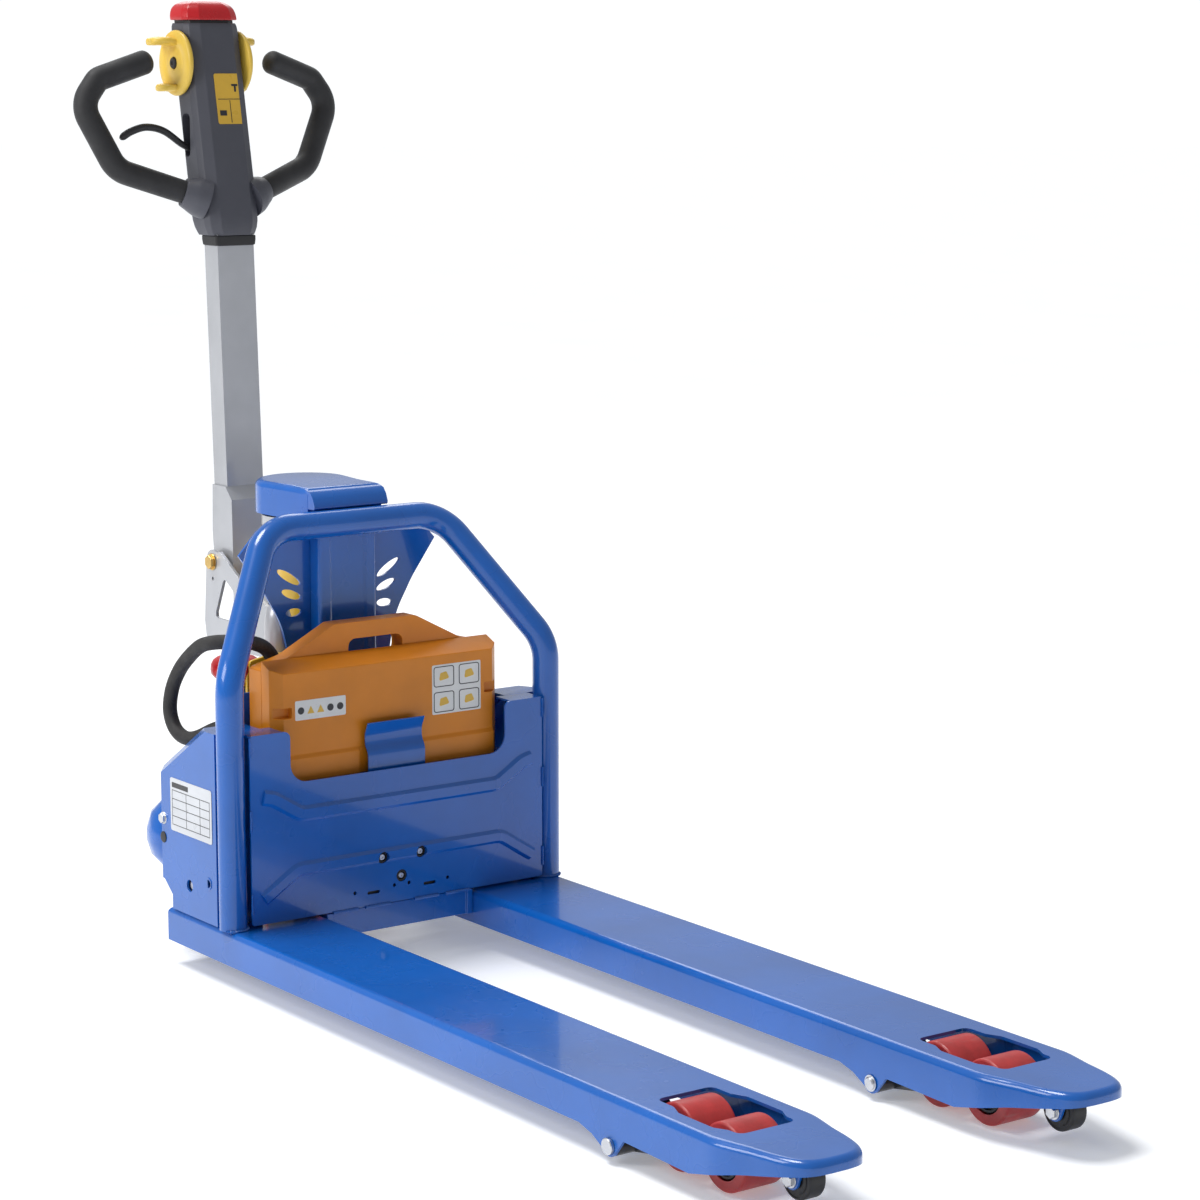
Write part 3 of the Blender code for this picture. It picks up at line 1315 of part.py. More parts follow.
def lift_lever(joint):
    """The curved raise and lower lever in the head's side slot."""
    x, z = -0.4905, 1.112
    path = smooth_path(
        [
            (x, -0.026, z - 0.008),
            (x, -0.050, z + 0.002),
            (x - 0.001, -0.080, z + 0.022),
            (x - 0.002, -0.108, z + 0.028),
            (x - 0.003, -0.132, z + 0.022),
            (x - 0.004, -0.150, z + 0.012),
        ],
        2,
    )
    finish(tube("lift_lever", path, 0.0055, 1), BLACK, joint)


def horn_button(joint):
    """The small rocker on the back of the head under the lever."""
    x = lean_x(HEAD_FRONT_LOW, HEAD_BOTTOM, HEAD_LEAN, 1.075) - HEAD_DEPTH
    wedge = [(x - 0.0045, 1.058), (x - 0.012, 1.074), (x - 0.0085, 1.092)]
    finish(extruded("horn_button", [(x - 0.0020, 1.056), *wedge, (x - 0.0082, 1.096)], "XZ", -0.014, 0.014), BLACK, joint)


def cable_and_plug():
    """The sleeved battery lead: up out of its plug, out past the side box in a loop and back to the tray's wall."""
    finish(tube("battery_cable", smooth_path(CABLE_ROUTE, 2), CABLE_RADIUS, 2), BLACK)
    back = TRAY_REAR - TRAY_THICK - GAP
    finish(block("cable_plug", (-0.130, -0.146, 0.3680), (back, -0.108, PLUG_TOP), 0.003), BLACK)


# ---------------------------------------------------------------- the whole truck


def clear_scene():
    for old in list(bpy.data.objects):
        bpy.data.objects.remove(old)


def move_origin_to_middle():
    """Puts the origin on the floor under the middle of the truck's box."""
    bpy.context.view_layer.update()
    graph = bpy.context.evaluated_depsgraph_get()
    xs = []
    for piece in PARTS.objects:
        if piece.type == "MESH":
            evaluated = piece.evaluated_get(graph)
            xs += [(evaluated.matrix_world @ v.co).x for v in evaluated.data.vertices]
    middle = (min(xs) + max(xs)) / 2
    for piece in list(PARTS.objects) + list(CUTTERS.objects):
        if piece.parent is None:
            piece.location.x -= middle
    bpy.context.view_layer.update()
    print("heel at X", round(-middle, 6))


clear_scene()
PARTS = new_collection("pallet_jack")
CUTTERS = new_collection("cutters")

BLUE = material("gloss_blue_paint", (0.012, 0.130, 0.620), 0.22)
ORANGE = material("battery_orange", (0.760, 0.250, 0.015), 0.42)
YELLOW = material("signal_yellow", (0.850, 0.560, 0.030), 0.40)
RED = material("stop_red", (0.550, 0.012, 0.014), 0.35)
RED_PU = material("red_polyurethane", (0.450, 0.030, 0.035), 0.38)
BLACK = material("black_plastic", (0.012, 0.012, 0.014), 0.42)
ANTHRACITE = material("anthracite_plastic", (0.055, 0.055, 0.070), 0.48)
DARK_STEEL = material("dark_steel", (0.030, 0.032, 0.036), 0.45, 0.6)
ZINC = material("zinc_plate", (0.620, 0.630, 0.650), 0.30, 1.0)
SILVER = material("silver_paint", (0.520, 0.530, 0.560), 0.36, 0.4)
CHROME = material("chrome", (0.750, 0.760, 0.780), 0.10, 1.0)
BRASS = material("yellow_zinc", (0.620, 0.400, 0.120), 0.35, 1.0)


def build():
    lift = pivot("lift_slide", (STEER_X, 0, CYLINDER_BOTTOM))
    steer = pivot("steering", (STEER_X, 0, YOKE_TOP), lift)
    wheel = pivot("drive_wheel_spin", (STEER_X, 0, WHEEL_RADIUS), steer)
    tilt = pivot("tiller_tilt", (TILLER_PIVOT_X, 0, TILLER_PIVOT_Z), steer)
    for side, sign in SIDES.items():
        fork(side, sign)
        arm = pivot(f"load_arm_{side}_swing", (ARM_PIN_X, sign * FORK_Y, ARM_PIN_HEIGHT))
        bogie = pivot(f"bogie_{side}_rock", (BOGIE_X, sign * FORK_Y, ROLLER_RADIUS), arm)
        load_wheels(side, sign, arm, bogie)
        push_rod(side, sign * FORK_Y, pivot(f"push_rod_{side}_slide", (ROCKER_X, sign * FORK_Y, ROCKER_HEIGHT - ROCKER_LEVER)))
        tip = pivot(f"tip_roller_{side}_spin", (TIP_ROLLER_X, sign * FORK_Y, TIP_ROLLER_CLEAR + TIP_ROLLER_RADIUS))
        tip_roller(side, sign * FORK_Y, tip)
        side_box(side, sign)
        swivel = pivot(f"caster_{side}_swivel", (CASTER_X, sign * CASTER_Y, CASTER_PLATE_TOP))
        roll = pivot(f"caster_{side}_spin", (CASTER_X + CASTER_TRAIL, sign * CASTER_Y, CASTER_RADIUS), swivel)
        caster(side, sign, swivel, roll)
        paddle(side, sign, pivot(f"paddle_{side}_turn", (PADDLE_X, sign * PADDLE_IN, PADDLE_Z), tilt))
        grip_loop(side, sign, tilt)
    rocker(pivot("rocker_swing", (ROCKER_X, 0, ROCKER_HEIGHT)))
    guard_hoop()
    front_panel()
    cross_member()
    battery_tray()
    battery_clip()
    tower_web()
    tower_column()
    tower_cap()
    ram_and_cylinder(lift)
    power_pack()
    emergency_stop(pivot("emergency_stop_press", (STOP_X, STOP_Y, 0.391)))
    battery(pivot("battery_lift", (BATTERY_SEAM, 0, BATTERY_BOTTOM)))
    drive_unit(steer, wheel)
    tiller_bracket(steer)
    tiller_arm(tilt)
    head(tilt, pivot("belly_button_press", (-0.51, 0, HEAD_TOP), tilt))
    lift_lever(pivot("lift_lever_turn", (-0.4905, -0.030, 1.105), tilt))
    horn_button(pivot("horn_button_press", (-0.51, 0, 1.075), tilt))
    cable_and_plug()
    move_origin_to_middle()


build()
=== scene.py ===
"""Powered pallet truck: the finished surfaces of every piece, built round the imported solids.

Pieces are modelled in metres from the fork heel, X towards the fork tips, Y to the operator's left, Z up.
adopt() then moves them to the frame's origin and hangs them on the body that they move with.
"""

import json
import math

import bmesh
import bpy
from mathutils import Matrix, Vector

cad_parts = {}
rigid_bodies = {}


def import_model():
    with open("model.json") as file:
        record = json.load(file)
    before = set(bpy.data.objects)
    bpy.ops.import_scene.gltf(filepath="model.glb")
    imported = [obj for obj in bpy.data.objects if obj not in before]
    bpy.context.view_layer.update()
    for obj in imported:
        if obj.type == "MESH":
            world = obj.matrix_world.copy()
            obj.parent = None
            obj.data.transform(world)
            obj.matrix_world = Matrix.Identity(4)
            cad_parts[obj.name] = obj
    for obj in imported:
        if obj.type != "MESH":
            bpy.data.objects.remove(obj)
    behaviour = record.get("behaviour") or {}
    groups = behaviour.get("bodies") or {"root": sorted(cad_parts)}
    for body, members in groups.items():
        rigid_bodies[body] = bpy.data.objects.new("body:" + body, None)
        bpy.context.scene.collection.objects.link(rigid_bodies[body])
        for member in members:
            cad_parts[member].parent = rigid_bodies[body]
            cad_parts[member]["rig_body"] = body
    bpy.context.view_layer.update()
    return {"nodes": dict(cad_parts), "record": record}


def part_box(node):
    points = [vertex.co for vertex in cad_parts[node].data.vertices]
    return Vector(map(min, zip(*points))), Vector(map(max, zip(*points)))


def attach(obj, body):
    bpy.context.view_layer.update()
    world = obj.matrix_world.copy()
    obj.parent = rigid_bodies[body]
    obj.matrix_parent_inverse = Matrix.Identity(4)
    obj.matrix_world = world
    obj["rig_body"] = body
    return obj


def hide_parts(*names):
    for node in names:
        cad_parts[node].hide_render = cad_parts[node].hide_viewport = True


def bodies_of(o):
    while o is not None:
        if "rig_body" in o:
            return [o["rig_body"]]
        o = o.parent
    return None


bl_info = {
    "name": "Pallet Jack",
    "version": (1, 0, 0),
    "blender": (4, 5, 0),
    "location": "View3D > Sidebar > Pallet Jack",
    "description": "Builds a powered pallet truck with its forks, tower, battery and tiller",
    "category": "Add Mesh",
}

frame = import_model()

RIB_RISE = 0.0025
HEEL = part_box("front_panel")[1].x - RIB_RISE
SIDES = {"left": 1, "right": -1}


def where(node):
    """The node's lowest and highest corners, measured from the heel."""
    low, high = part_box(node)
    shift = Vector((HEEL, 0, 0))
    return low - shift, high - shift


# ---------------------------------------------------------------- settings


def colour_setting(name, description, default):
    return bpy.props.FloatVectorProperty(
        name=name, description=description, default=default, subtype="COLOR", min=0.0, max=1.0
    )


def length_setting(name, description, default):
    return bpy.props.FloatProperty(name=name, description=description, default=default, unit="LENGTH", min=0.0)


class PalletJackFinishes(bpy.types.PropertyGroup):
    paint: colour_setting("Paint", "Colour of the chassis and the forks", (0.002, 0.112, 0.480))
    battery: colour_setting("Battery", "Colour of the battery's shells", (0.700, 0.225, 0.008))
    paddle: colour_setting("Paddles", "Colour of the drive paddles and the label", (0.780, 0.530, 0.080))
    stop: colour_setting("Stop buttons", "Colour of the stop button and the belly button", (0.560, 0.012, 0.018))
    tyre: colour_setting("Tyres", "Colour of the load rollers and the drive tyre", (0.480, 0.035, 0.035))
    silver: colour_setting("Tiller", "Colour of the tiller arm and its bracket", (0.460, 0.470, 0.500))
    head: colour_setting("Head", "Colour of the tiller's head", (0.070, 0.072, 0.090))


class PalletJackSizes(bpy.types.PropertyGroup):
    fork_edge: length_setting("Fork edge", "Radius of the forks' top edges", 0.009)
    sheet_edge: length_setting("Sheet edge", "Radius of the edges of cut sheet", 0.0008)
    moulded_edge: length_setting("Moulded edge", "Radius of the battery's moulded edges", 0.0035)
    hoop_tube: length_setting("Hoop tube", "Radius of the guard hoop's tube", 0.019)
    weld_bead: length_setting("Weld bead", "Radius of a weld bead", 0.0022)
    grip_tube: length_setting("Grip", "Radius of the loop grips", 0.0175)


# ---------------------------------------------------------------- mesh helpers


def piece_from(bm, name, sharp=32):
    bmesh.ops.remove_doubles(bm, verts=bm.verts, dist=1e-6)
    bmesh.ops.recalc_face_normals(bm, faces=bm.faces)
    mesh = bpy.data.meshes.new(name)
    bm.to_mesh(mesh)
    bm.free()
    mesh.shade_smooth()
    mesh.set_sharp_from_angle(angle=math.radians(sharp))
    piece = bpy.data.objects.new(name, mesh)
    bpy.context.scene.collection.objects.link(piece)
    return piece


def applied(piece):
    """The piece with its modifiers made part of its mesh."""
    bpy.context.view_layer.update()
    evaluated = piece.evaluated_get(bpy.context.evaluated_depsgraph_get())
    mesh = bpy.data.meshes.new_from_object(evaluated)
    piece.modifiers.clear()
    old, piece.data = piece.data, mesh
    bpy.data.meshes.remove(old)
    return piece


def from_curve(curve, name, place=None):
    """A curve's surface as a mesh piece; place maps each of its points."""
    source = bpy.data.objects.new(name + "_curve", curve)
    bpy.context.scene.collection.objects.link(source)
    bpy.context.view_layer.update()
    mesh = bpy.data.meshes.new_from_object(source.evaluated_get(bpy.context.evaluated_depsgraph_get()))
    bpy.data.objects.remove(source)
    bm = bmesh.new()
    bm.from_mesh(mesh)
    bpy.data.meshes.remove(mesh)
    if place:
        for vertex in bm.verts:
            vertex.co = place(vertex.co)
    return piece_from(bm, name)


def extruded(name, outline, plane, low, high, holes=()):
    """A flat outline in the XY, XZ or YZ plane, with holes, thickened from low to high along the third axis."""
    curve = bpy.data.curves.new(name, "CURVE")
    curve.dimensions = "2D"
    curve.fill_mode = "BOTH"
    curve.extrude = (high - low) / 2
    for ring in (outline, *holes):
        spline = curve.splines.new("POLY")
        spline.points.add(len(ring) - 1)
        for point, (u, v) in zip(spline.points, ring):
            point.co = (u, v, 0, 1)
        spline.use_cyclic_u = True
    middle = (low + high) / 2

    def place(point):
        u, v, w = point
        w += middle
        return Vector({"XY": (u, v, w), "XZ": (u, w, v), "YZ": (w, u, v)}[plane])

    return from_curve(curve, name, place)


def tube(name, path, radius, sides=24, radii=None):
    """A round tube along a path; radii scales it at each point."""
    curve = bpy.data.curves.new(name, "CURVE")
    curve.dimensions = "3D"
    curve.bevel_depth = radius
    curve.bevel_resolution = max(sides // 4 - 1, 0)
    curve.use_fill_caps = True
    spline = curve.splines.new("POLY")
    spline.points.add(len(path) - 1)
    for i, place in enumerate(path):
        spline.points[i].co = (*place, 1)
        spline.points[i].radius = radii[i] if radii else 1
    return from_curve(curve, name)


AXES = {
    "Z": lambda r, a, t: (r * math.cos(t), r * math.sin(t), a),
    "Y": lambda r, a, t: (r * math.sin(t), a, r * math.cos(t)),
    "X": lambda r, a, t: (a, r * math.cos(t), r * math.sin(t)),
}


def lathe(name, profile, centre, axis="Z", sides=64):
    """A profile of (radius, distance along the axis) turned round an axis; off the axis all round, it is a ring."""
    bm = bmesh.new()
    centre = Vector(centre)
    rings = []
    for radius, along in profile:
        count = sides if radius > 0 else 1
        spots = [AXES[axis](radius, along, 2 * math.pi * i / sides) for i in range(count)]
        rings.append([bm.verts.new(centre + Vector(spot)) for spot in spots])
    ring_shaped = all(radius > 0 for radius, _ in profile)
    for low, high in zip(rings, rings[1:] + (rings[:1] if ring_shaped else [])):
        for i in range(sides):
            j = (i + 1) % sides
            corners = [low[i % len(low)], low[j % len(low)], high[j % len(high)], high[i % len(high)]]
            corners = list(dict.fromkeys(corners))
            if len(corners) > 2:
                bm.faces.new(corners)
    return piece_from(bm, name)


def bar(name, radius, low, high, place, axis, sides=40):
    """A plain round bar, or the drill for a hole."""
    return lathe(name, [(0, low), (radius, low), (radius, high), (0, high)], place, axis, sides)


def facing(profile, way):
    """A turned profile looking along its axis (1) or back (-1)."""
    return [(r, a * way) for r, a in profile]


def both_faces(half):
    """A profile for the far face, closed with its mirror image."""
    return half + [(r, -a) for r, a in reversed(half)]


def rectangle(low_u, low_v, high_u, high_v):
    return [(low_u, low_v), (high_u, low_v), (high_u, high_v), (low_u, high_v)]


def loft(name, rings, sharp=40):
    """A closed skin through rings of points with equal counts."""
    bm = bmesh.new()
    loops = [[bm.verts.new(p) for p in ring] for ring in rings]
    for low, high in zip(loops, loops[1:]):
        for i in range(len(low)):
            j = (i + 1) % len(low)
            bm.faces.new((low[i], low[j], high[j], high[i]))
    for loop in (loops[0], loops[-1]):
        bm.faces.new(loop)
    return piece_from(bm, name, sharp)


def slab(name, low, high):
    """A block between two corners, to be rounded, cut or joined."""
    bm = bmesh.new()
    bmesh.ops.create_cube(bm, size=1.0)
    for vertex in bm.verts:
        vertex.co = Vector(l + (c + 0.5) * (h - l) for l, h, c in zip(low, high, vertex.co))
    return piece_from(bm, name)


def combine(target, operation, *tools):
    for tool in tools:
        modifier = target.modifiers.new("join", "BOOLEAN")
        modifier.operation = operation
        modifier.object = tool
    applied(target)
    for tool in tools:
        bpy.data.objects.remove(tool)
    return target


def cut(target, *tools):
    return combine(target, "DIFFERENCE", *tools)


def fuse(target, *tools):
    return combine(target, "UNION", *tools)


def gathered(name, pieces):
    """Several separate solids as one piece, such as a set of bolts."""
    bm = bmesh.new()
    for piece in pieces:
        bm.from_mesh(piece.data)
        bpy.data.objects.remove(piece)
    return piece_from(bm, name)


def soften(piece, radius, segments=2, angle=32, merge=True):
    """Rounds every edge sharper than the angle; merge joins the flat triangles first."""
    bm = bmesh.new()
    bm.from_mesh(piece.data)
    bmesh.ops.remove_doubles(bm, verts=bm.verts, dist=2e-5)
    if merge:
        bmesh.ops.dissolve_limit(bm, angle_limit=math.radians(1.5), verts=bm.verts, edges=bm.edges)
    bm.to_mesh(piece.data)
    bm.free()
    bevel = piece.modifiers.new("edges", "BEVEL")
    bevel.width = radius
    bevel.segments = segments
    bevel.limit_method = "ANGLE"
    bevel.angle_limit = math.radians(angle)
    bevel.miter_outer = "MITER_ARC"
    applied(piece)
    piece.data.shade_smooth()
    piece.data.set_sharp_from_angle(angle=math.radians(50))
    weighted = piece.modifiers.new("normals", "WEIGHTED_NORMAL")
    weighted.keep_sharp = True
    return applied(piece)


def arc(cx, cy, radius, start, end, steps):
    """Points on an arc, angles in degrees."""
    for i in range(steps + 1):
        angle = math.radians(start + (end - start) * i / steps)
        yield cx + radius * math.cos(angle), cy + radius * math.sin(angle)


def circle(cx, cy, radius, sides=32):
    return list(arc(cx, cy, radius, 0, 360 - 360 / sides, sides - 1))


def fillet(before, corner, after, radius, steps):
    """The points of a round at a corner, in two or three dimensions."""
    back, on = (before - corner).normalized(), (after - corner).normalized()
    half = back.angle(on) / 2
    reach = radius / math.tan(half)
    centre = corner + (back + on).normalized() * radius / math.sin(half)
    first, last = corner + back * reach - centre, corner + on * reach - centre
    sweep = math.pi - 2 * half
    for i in range(steps + 1):
        t = i / steps
        mixed = first * math.sin((1 - t) * sweep) + last * math.sin(t * sweep)
        yield tuple(centre + mixed / math.sin(sweep))


def rounded(points, radius, steps=5):
    """A closed outline with rounded corners; radius is one value, or one for each corner."""
    corners = [Vector(p) for p in points]
    radii = radius if isinstance(radius, (list, tuple)) else [radius] * len(corners)
    made = []
    for i, corner in enumerate(corners):
        after = corners[(i + 1) % len(corners)]
        made += fillet(corners[i - 1], corner, after, radii[i], steps) if radii[i] else [tuple(corner)]
    return made


def bent_path(corners, radii, steps=10):
    """An open path whose inner corners are bent to the given radii."""
    corners = [Vector(c) for c in corners]
    path = [tuple(corners[0])]
    for i, radius in zip(range(1, len(corners) - 1), radii):
        path += fillet(corners[i - 1], corners[i], corners[i + 1], radius, steps)
    return path + [tuple(corners[-1])]


def smooth_path(points, per_span=4):
    """A Catmull-Rom curve through the points."""
    points = [Vector(p) for p in points]
    ends = [2 * points[0] - points[1], *points, 2 * points[-1] - points[-2]]
    path = []
    for a, b, c, d in zip(ends, ends[1:], ends[2:], ends[3:]):
        for i in range(per_span):
            t = i / per_span
            path.append(
                0.5 * (2 * b + (c - a) * t + (2 * a - 5 * b + 4 * c - d) * t**2 + (3 * b - a - 3 * c + d) * t**3)
            )
    return [tuple(p) for p in path + [points[-1]]]


def mirrored(points):
    """An outline given for the left, closed with its mirror image."""
    return points + [(-u, v) for u, v in reversed(points)]


def band(points, width):
    """An outline of constant width along an open line."""
    points = [Vector(p) for p in points]
    sides = []
    for i, point in enumerate(points):
        first = (point - points[i - 1]).normalized() if i else (points[1] - point).normalized()
        last = (points[i + 1] - point).normalized() if i < len(points) - 1 else first
        mean = (first + last).normalized()
        sides.append((point, Vector((-mean.y, mean.x)) * width / 2 / mean.dot(first)))
    return [tuple(p + n) for p, n in sides] + [tuple(p - n) for p, n in reversed(sides)]


def hex_bolt(name, place, axis, way, size, height):
    """A hexagon head with a chamfered crown on its washer; way is 1 or -1 along the axis."""
    place = Vector(place)
    washer = [
        (0, 0), (size * 0.98, 0), (size * 1.02, way * height * 0.10), (size * 0.98, way * height * 0.22),
        (0, way * height * 0.22)
    ]
    base = lathe(name + "_washer", washer, place, axis, 32)
    crown = [
        (0, way * height * 0.22), (size * 0.86, way * height * 0.22), (size * 0.86, way * height * 0.9),
        (size * 0.76, way * height), (0, way * height)
    ]
    head = lathe(name + "_head", crown, place, axis, 6)
    return gathered(name, [base, soften(head, size * 0.04, 2)])


def weld_bead(name, path, radius):
    """A bead of overlapping ripples along a path."""
    steps = smooth_path(path, 8)
    swell = [1 + 0.16 * math.sin(2.4 * i) for i in range(len(steps))]
    return tube(name, steps, radius, 10, swell)


# ---------------------------------------------------------------- finishes


class Nodes:
    """A small builder for a material's nodes."""

    def __init__(self, name):
        self.material = bpy.data.materials.new(name)
        self.material.use_nodes = True
        self.tree = self.material.node_tree
        self.shader = self.tree.nodes["Principled BSDF"]
        self.place = self.add("ShaderNodeTexCoord").outputs["Object"]

    def add(self, kind, **settings):
        node = self.tree.nodes.new(kind)
        for key, value in settings.items():
            setattr(node, key, value)
        return node

    def link(self, source, target):
        self.tree.links.new(source, target)

    def noise(self, scale, detail=4.0, roughness=0.55, stretch=None):
        source = self.place
        if stretch:
            mapping = self.add("ShaderNodeMapping")
            mapping.inputs["Scale"].default_value = stretch
            self.link(source, mapping.inputs["Vector"])
            source = mapping.outputs["Vector"]
        node = self.add("ShaderNodeTexNoise")
        node.inputs["Scale"].default_value = scale
        node.inputs["Detail"].default_value = detail
        node.inputs["Roughness"].default_value = roughness
        self.link(source, node.inputs["Vector"])
        return node.outputs["Fac"]

    def cells(self, scale):
        node = self.add("ShaderNodeTexVoronoi")
        node.inputs["Scale"].default_value = scale
        self.link(self.place, node.inputs["Vector"])
        return node.outputs["Distance"]

    def scaled(self, source, low, high, start=0.0, end=1.0):
        node = self.add("ShaderNodeMapRange")
        for key, value in zip(("From Min", "From Max", "To Min", "To Max"), (start, end, low, high)):
            node.inputs[key].default_value = value
        self.link(source, node.inputs["Value"])
        return node.outputs["Result"]

    def mixed(self, factor, first, second):
        """A colour mix; first and second are colours or sockets."""
        node = self.add("ShaderNodeMix", data_type="RGBA")
        self.link(factor, node.inputs["Factor"])
        for key, value in ((6, first), (7, second)):
            if isinstance(value, (tuple, list)):
                node.inputs[key].default_value = (*value[:3], 1)
            else:
                self.link(value, node.inputs[key])
        return node.outputs[2]

    def bump(self, height, strength, distance, after=None):
        node = self.add("ShaderNodeBump")
        node.inputs["Strength"].default_value = strength
        node.inputs["Distance"].default_value = distance
        self.link(height, node.inputs["Height"])
        if after:
            self.link(after, node.inputs["Normal"])
        return node.outputs["Normal"]

    def facing_up(self):
        """1 on faces that look up, where dust settles."""
        normal = self.add("ShaderNodeNewGeometry").outputs["Normal"]
        split = self.add("ShaderNodeSeparateXYZ")
        self.link(normal, split.inputs["Vector"])
        return self.scaled(split.outputs["Z"], 0.0, 1.0, 0.55, 1.0)

    def set(self, colour=None, roughness=None, normal=None, **values):
        for key, value in (("Base Color", colour), ("Roughness", roughness), ("Normal", normal)):
            if isinstance(value, (tuple, list)):
                self.shader.inputs[key].default_value = (*value[:3], 1)
            elif isinstance(value, (int, float)):
                self.shader.inputs[key].default_value = value
            elif value is not None:
                self.link(value, self.shader.inputs[key])
        for key, value in values.items():
            self.shader.inputs[key.replace("_", " ")].default_value = value
        return self.material


def tinted(colour, factor):
    return tuple(min(channel * factor, 1.0) for channel in colour[:3])


def gloss_paint(name, colour, roughness=0.26):
    """Sprayed and baked paint: orange peel under a clear gloss, slightly uneven in tone, dusty on top."""
    nodes = Nodes(name)
    tone = nodes.scaled(nodes.noise(5.0), 0.0, 1.0, 0.35, 0.65)
    base = nodes.mixed(tone, tinted(colour, 0.88), tinted(colour, 1.10))
    dust = nodes.add("ShaderNodeMath", operation="MULTIPLY")
    nodes.link(nodes.facing_up(), dust.inputs[0])
    nodes.link(nodes.scaled(nodes.noise(30, 6.0, 0.7), 0.0, 0.016, 0.2, 0.8), dust.inputs[1])
    base = nodes.mixed(dust.outputs[0], base, (0.55, 0.56, 0.58))
    shine = nodes.scaled(nodes.noise(9, 3.0), roughness - 0.03, roughness + 0.05, 0.1, 0.9)
    peel = nodes.bump(nodes.noise(240, 2.0), 0.06, 0.0004)
    return nodes.set(base, shine, peel, Coat_Weight=0.7, Coat_Roughness=0.06, Specular_IOR_Level=0.3)


def moulded(name, colour, roughness=0.42, grain=1400, depth=0.25, tone=0.10):
    """Moulded plastic with a fine spark-eroded grain."""
    nodes = Nodes(name)
    drift = nodes.scaled(nodes.noise(7.0), 0.0, 1.0, 0.35, 0.65)
    base = nodes.mixed(drift, tinted(colour, 1 - tone), tinted(colour, 1 + tone))
    shine = nodes.scaled(nodes.noise(22, 5.0), roughness - 0.05, roughness + 0.08, 0.3, 0.7)
    texture = nodes.bump(nodes.cells(grain), depth, 0.00025, nodes.bump(nodes.noise(90, 3.0), 0.05, 0.0008))
    return nodes.set(base, shine, texture, Specular_IOR_Level=0.45)


def cast_urethane(name, colour):
    """Poured polyurethane: waxy, faintly mottled, with scuffs round the tread."""
    nodes = Nodes(name)
    mottle = nodes.scaled(nodes.noise(26, 6.0, 0.65), 0.0, 1.0, 0.35, 0.68)
    base = nodes.mixed(mottle, tinted(colour, 0.80), tinted(colour, 1.18))
    scuff = nodes.scaled(nodes.noise(70, 8.0, 0.75, (1, 0.15, 1)), 0.0, 0.5, 0.58, 0.75)
    base = nodes.mixed(scuff, base, (0.36, 0.20, 0.18))
    shine = nodes.scaled(nodes.noise(40, 5.0), 0.30, 0.52, 0.3, 0.7)
    texture = nodes.bump(nodes.noise(160, 6.0), 0.16, 0.0006)
    return nodes.set(base, shine, texture, Subsurface_Weight=0.08, Subsurface_Scale=0.004)


def metal(name, colour, roughness=0.30, brushed=(1, 1, 1), scratch=0.12):
    """Bare or plated metal with drawn lines and uneven shine."""
    nodes = Nodes(name)
    patch = nodes.scaled(nodes.noise(38, 6.0), 0.0, 1.0, 0.3, 0.7)
    base = nodes.mixed(patch, tinted(colour, 0.84), tinted(colour, 1.08))
    shine = nodes.scaled(nodes.noise(60, 5.0, 0.6, brushed), roughness - 0.08, roughness + 0.14, 0.3, 0.7)
    lines = nodes.bump(nodes.noise(420, 4.0, 0.6, brushed), scratch, 0.0004)
    return nodes.set(base, shine, lines, Metallic=1.0)


def rubber(name, colour, roughness=0.62):
    """Black rubber: a fine matt skin, paler where it is handled."""
    nodes = Nodes(name)
    patch = nodes.scaled(nodes.noise(18, 6.0), 0.0, 1.0, 0.3, 0.7)
    base = nodes.mixed(patch, tinted(colour, 0.75), tinted(colour, 1.35))
    shine = nodes.scaled(nodes.noise(30, 6.0), roughness - 0.08, roughness + 0.12, 0.3, 0.7)
    texture = nodes.bump(nodes.noise(520, 5.0), 0.22, 0.0005)
    return nodes.set(base, shine, texture, Sheen_Weight=0.15, Sheen_Roughness=0.4)


def braided(name, colour):
    """Braided sleeving: two sets of crossed ribs round a cable."""
    nodes = Nodes(name)
    split = nodes.add("ShaderNodeSeparateXYZ")
    nodes.link(nodes.place, split.inputs["Vector"])
    waves = []
    for slant in (1, -1):
        total = nodes.add("ShaderNodeMath", operation="MULTIPLY_ADD")
        nodes.link(split.outputs["Z"], total.inputs[0])
        total.inputs[1].default_value = slant
        nodes.link(split.outputs["X"], total.inputs[2])
        wave = nodes.add("ShaderNodeMath", operation="MULTIPLY")
        nodes.link(total.outputs[0], wave.inputs[0])
        wave.inputs[1].default_value = 2400
        sine = nodes.add("ShaderNodeMath", operation="SINE")
        nodes.link(wave.outputs[0], sine.inputs[0])
        waves.append(sine.outputs[0])
    weave = nodes.add("ShaderNodeMath", operation="MULTIPLY")
    for wave, socket in zip(waves, weave.inputs):
        nodes.link(wave, socket)
    ribs = nodes.scaled(weave.outputs[0], 0.0, 1.0, -1.0, 1.0)
    base = nodes.mixed(ribs, tinted(colour, 0.5), tinted(colour, 2.2))
    shine = nodes.scaled(nodes.noise(50), 0.50, 0.72, 0.3, 0.7)
    return nodes.set(base, shine, nodes.bump(ribs, 0.5, 0.0006))


def printed_label(name, colour, ink):
    """A printed foil: even colour with a faint print screen, slightly glossy."""
    nodes = Nodes(name)
    tone = nodes.scaled(nodes.noise(12), 0.0, 1.0, 0.35, 0.65)
    base = nodes.mixed(tone, tinted(colour, 0.93), tinted(colour, 1.06))
    base = nodes.mixed(nodes.scaled(nodes.cells(1800), 0.12, 0.0, 0.0, 0.5), base, ink)
    shine = nodes.scaled(nodes.noise(30), 0.26, 0.36, 0.3, 0.7)
    return nodes.set(base, shine, nodes.bump(nodes.noise(60, 2.0), 0.05, 0.0005))


FINISHES = {}


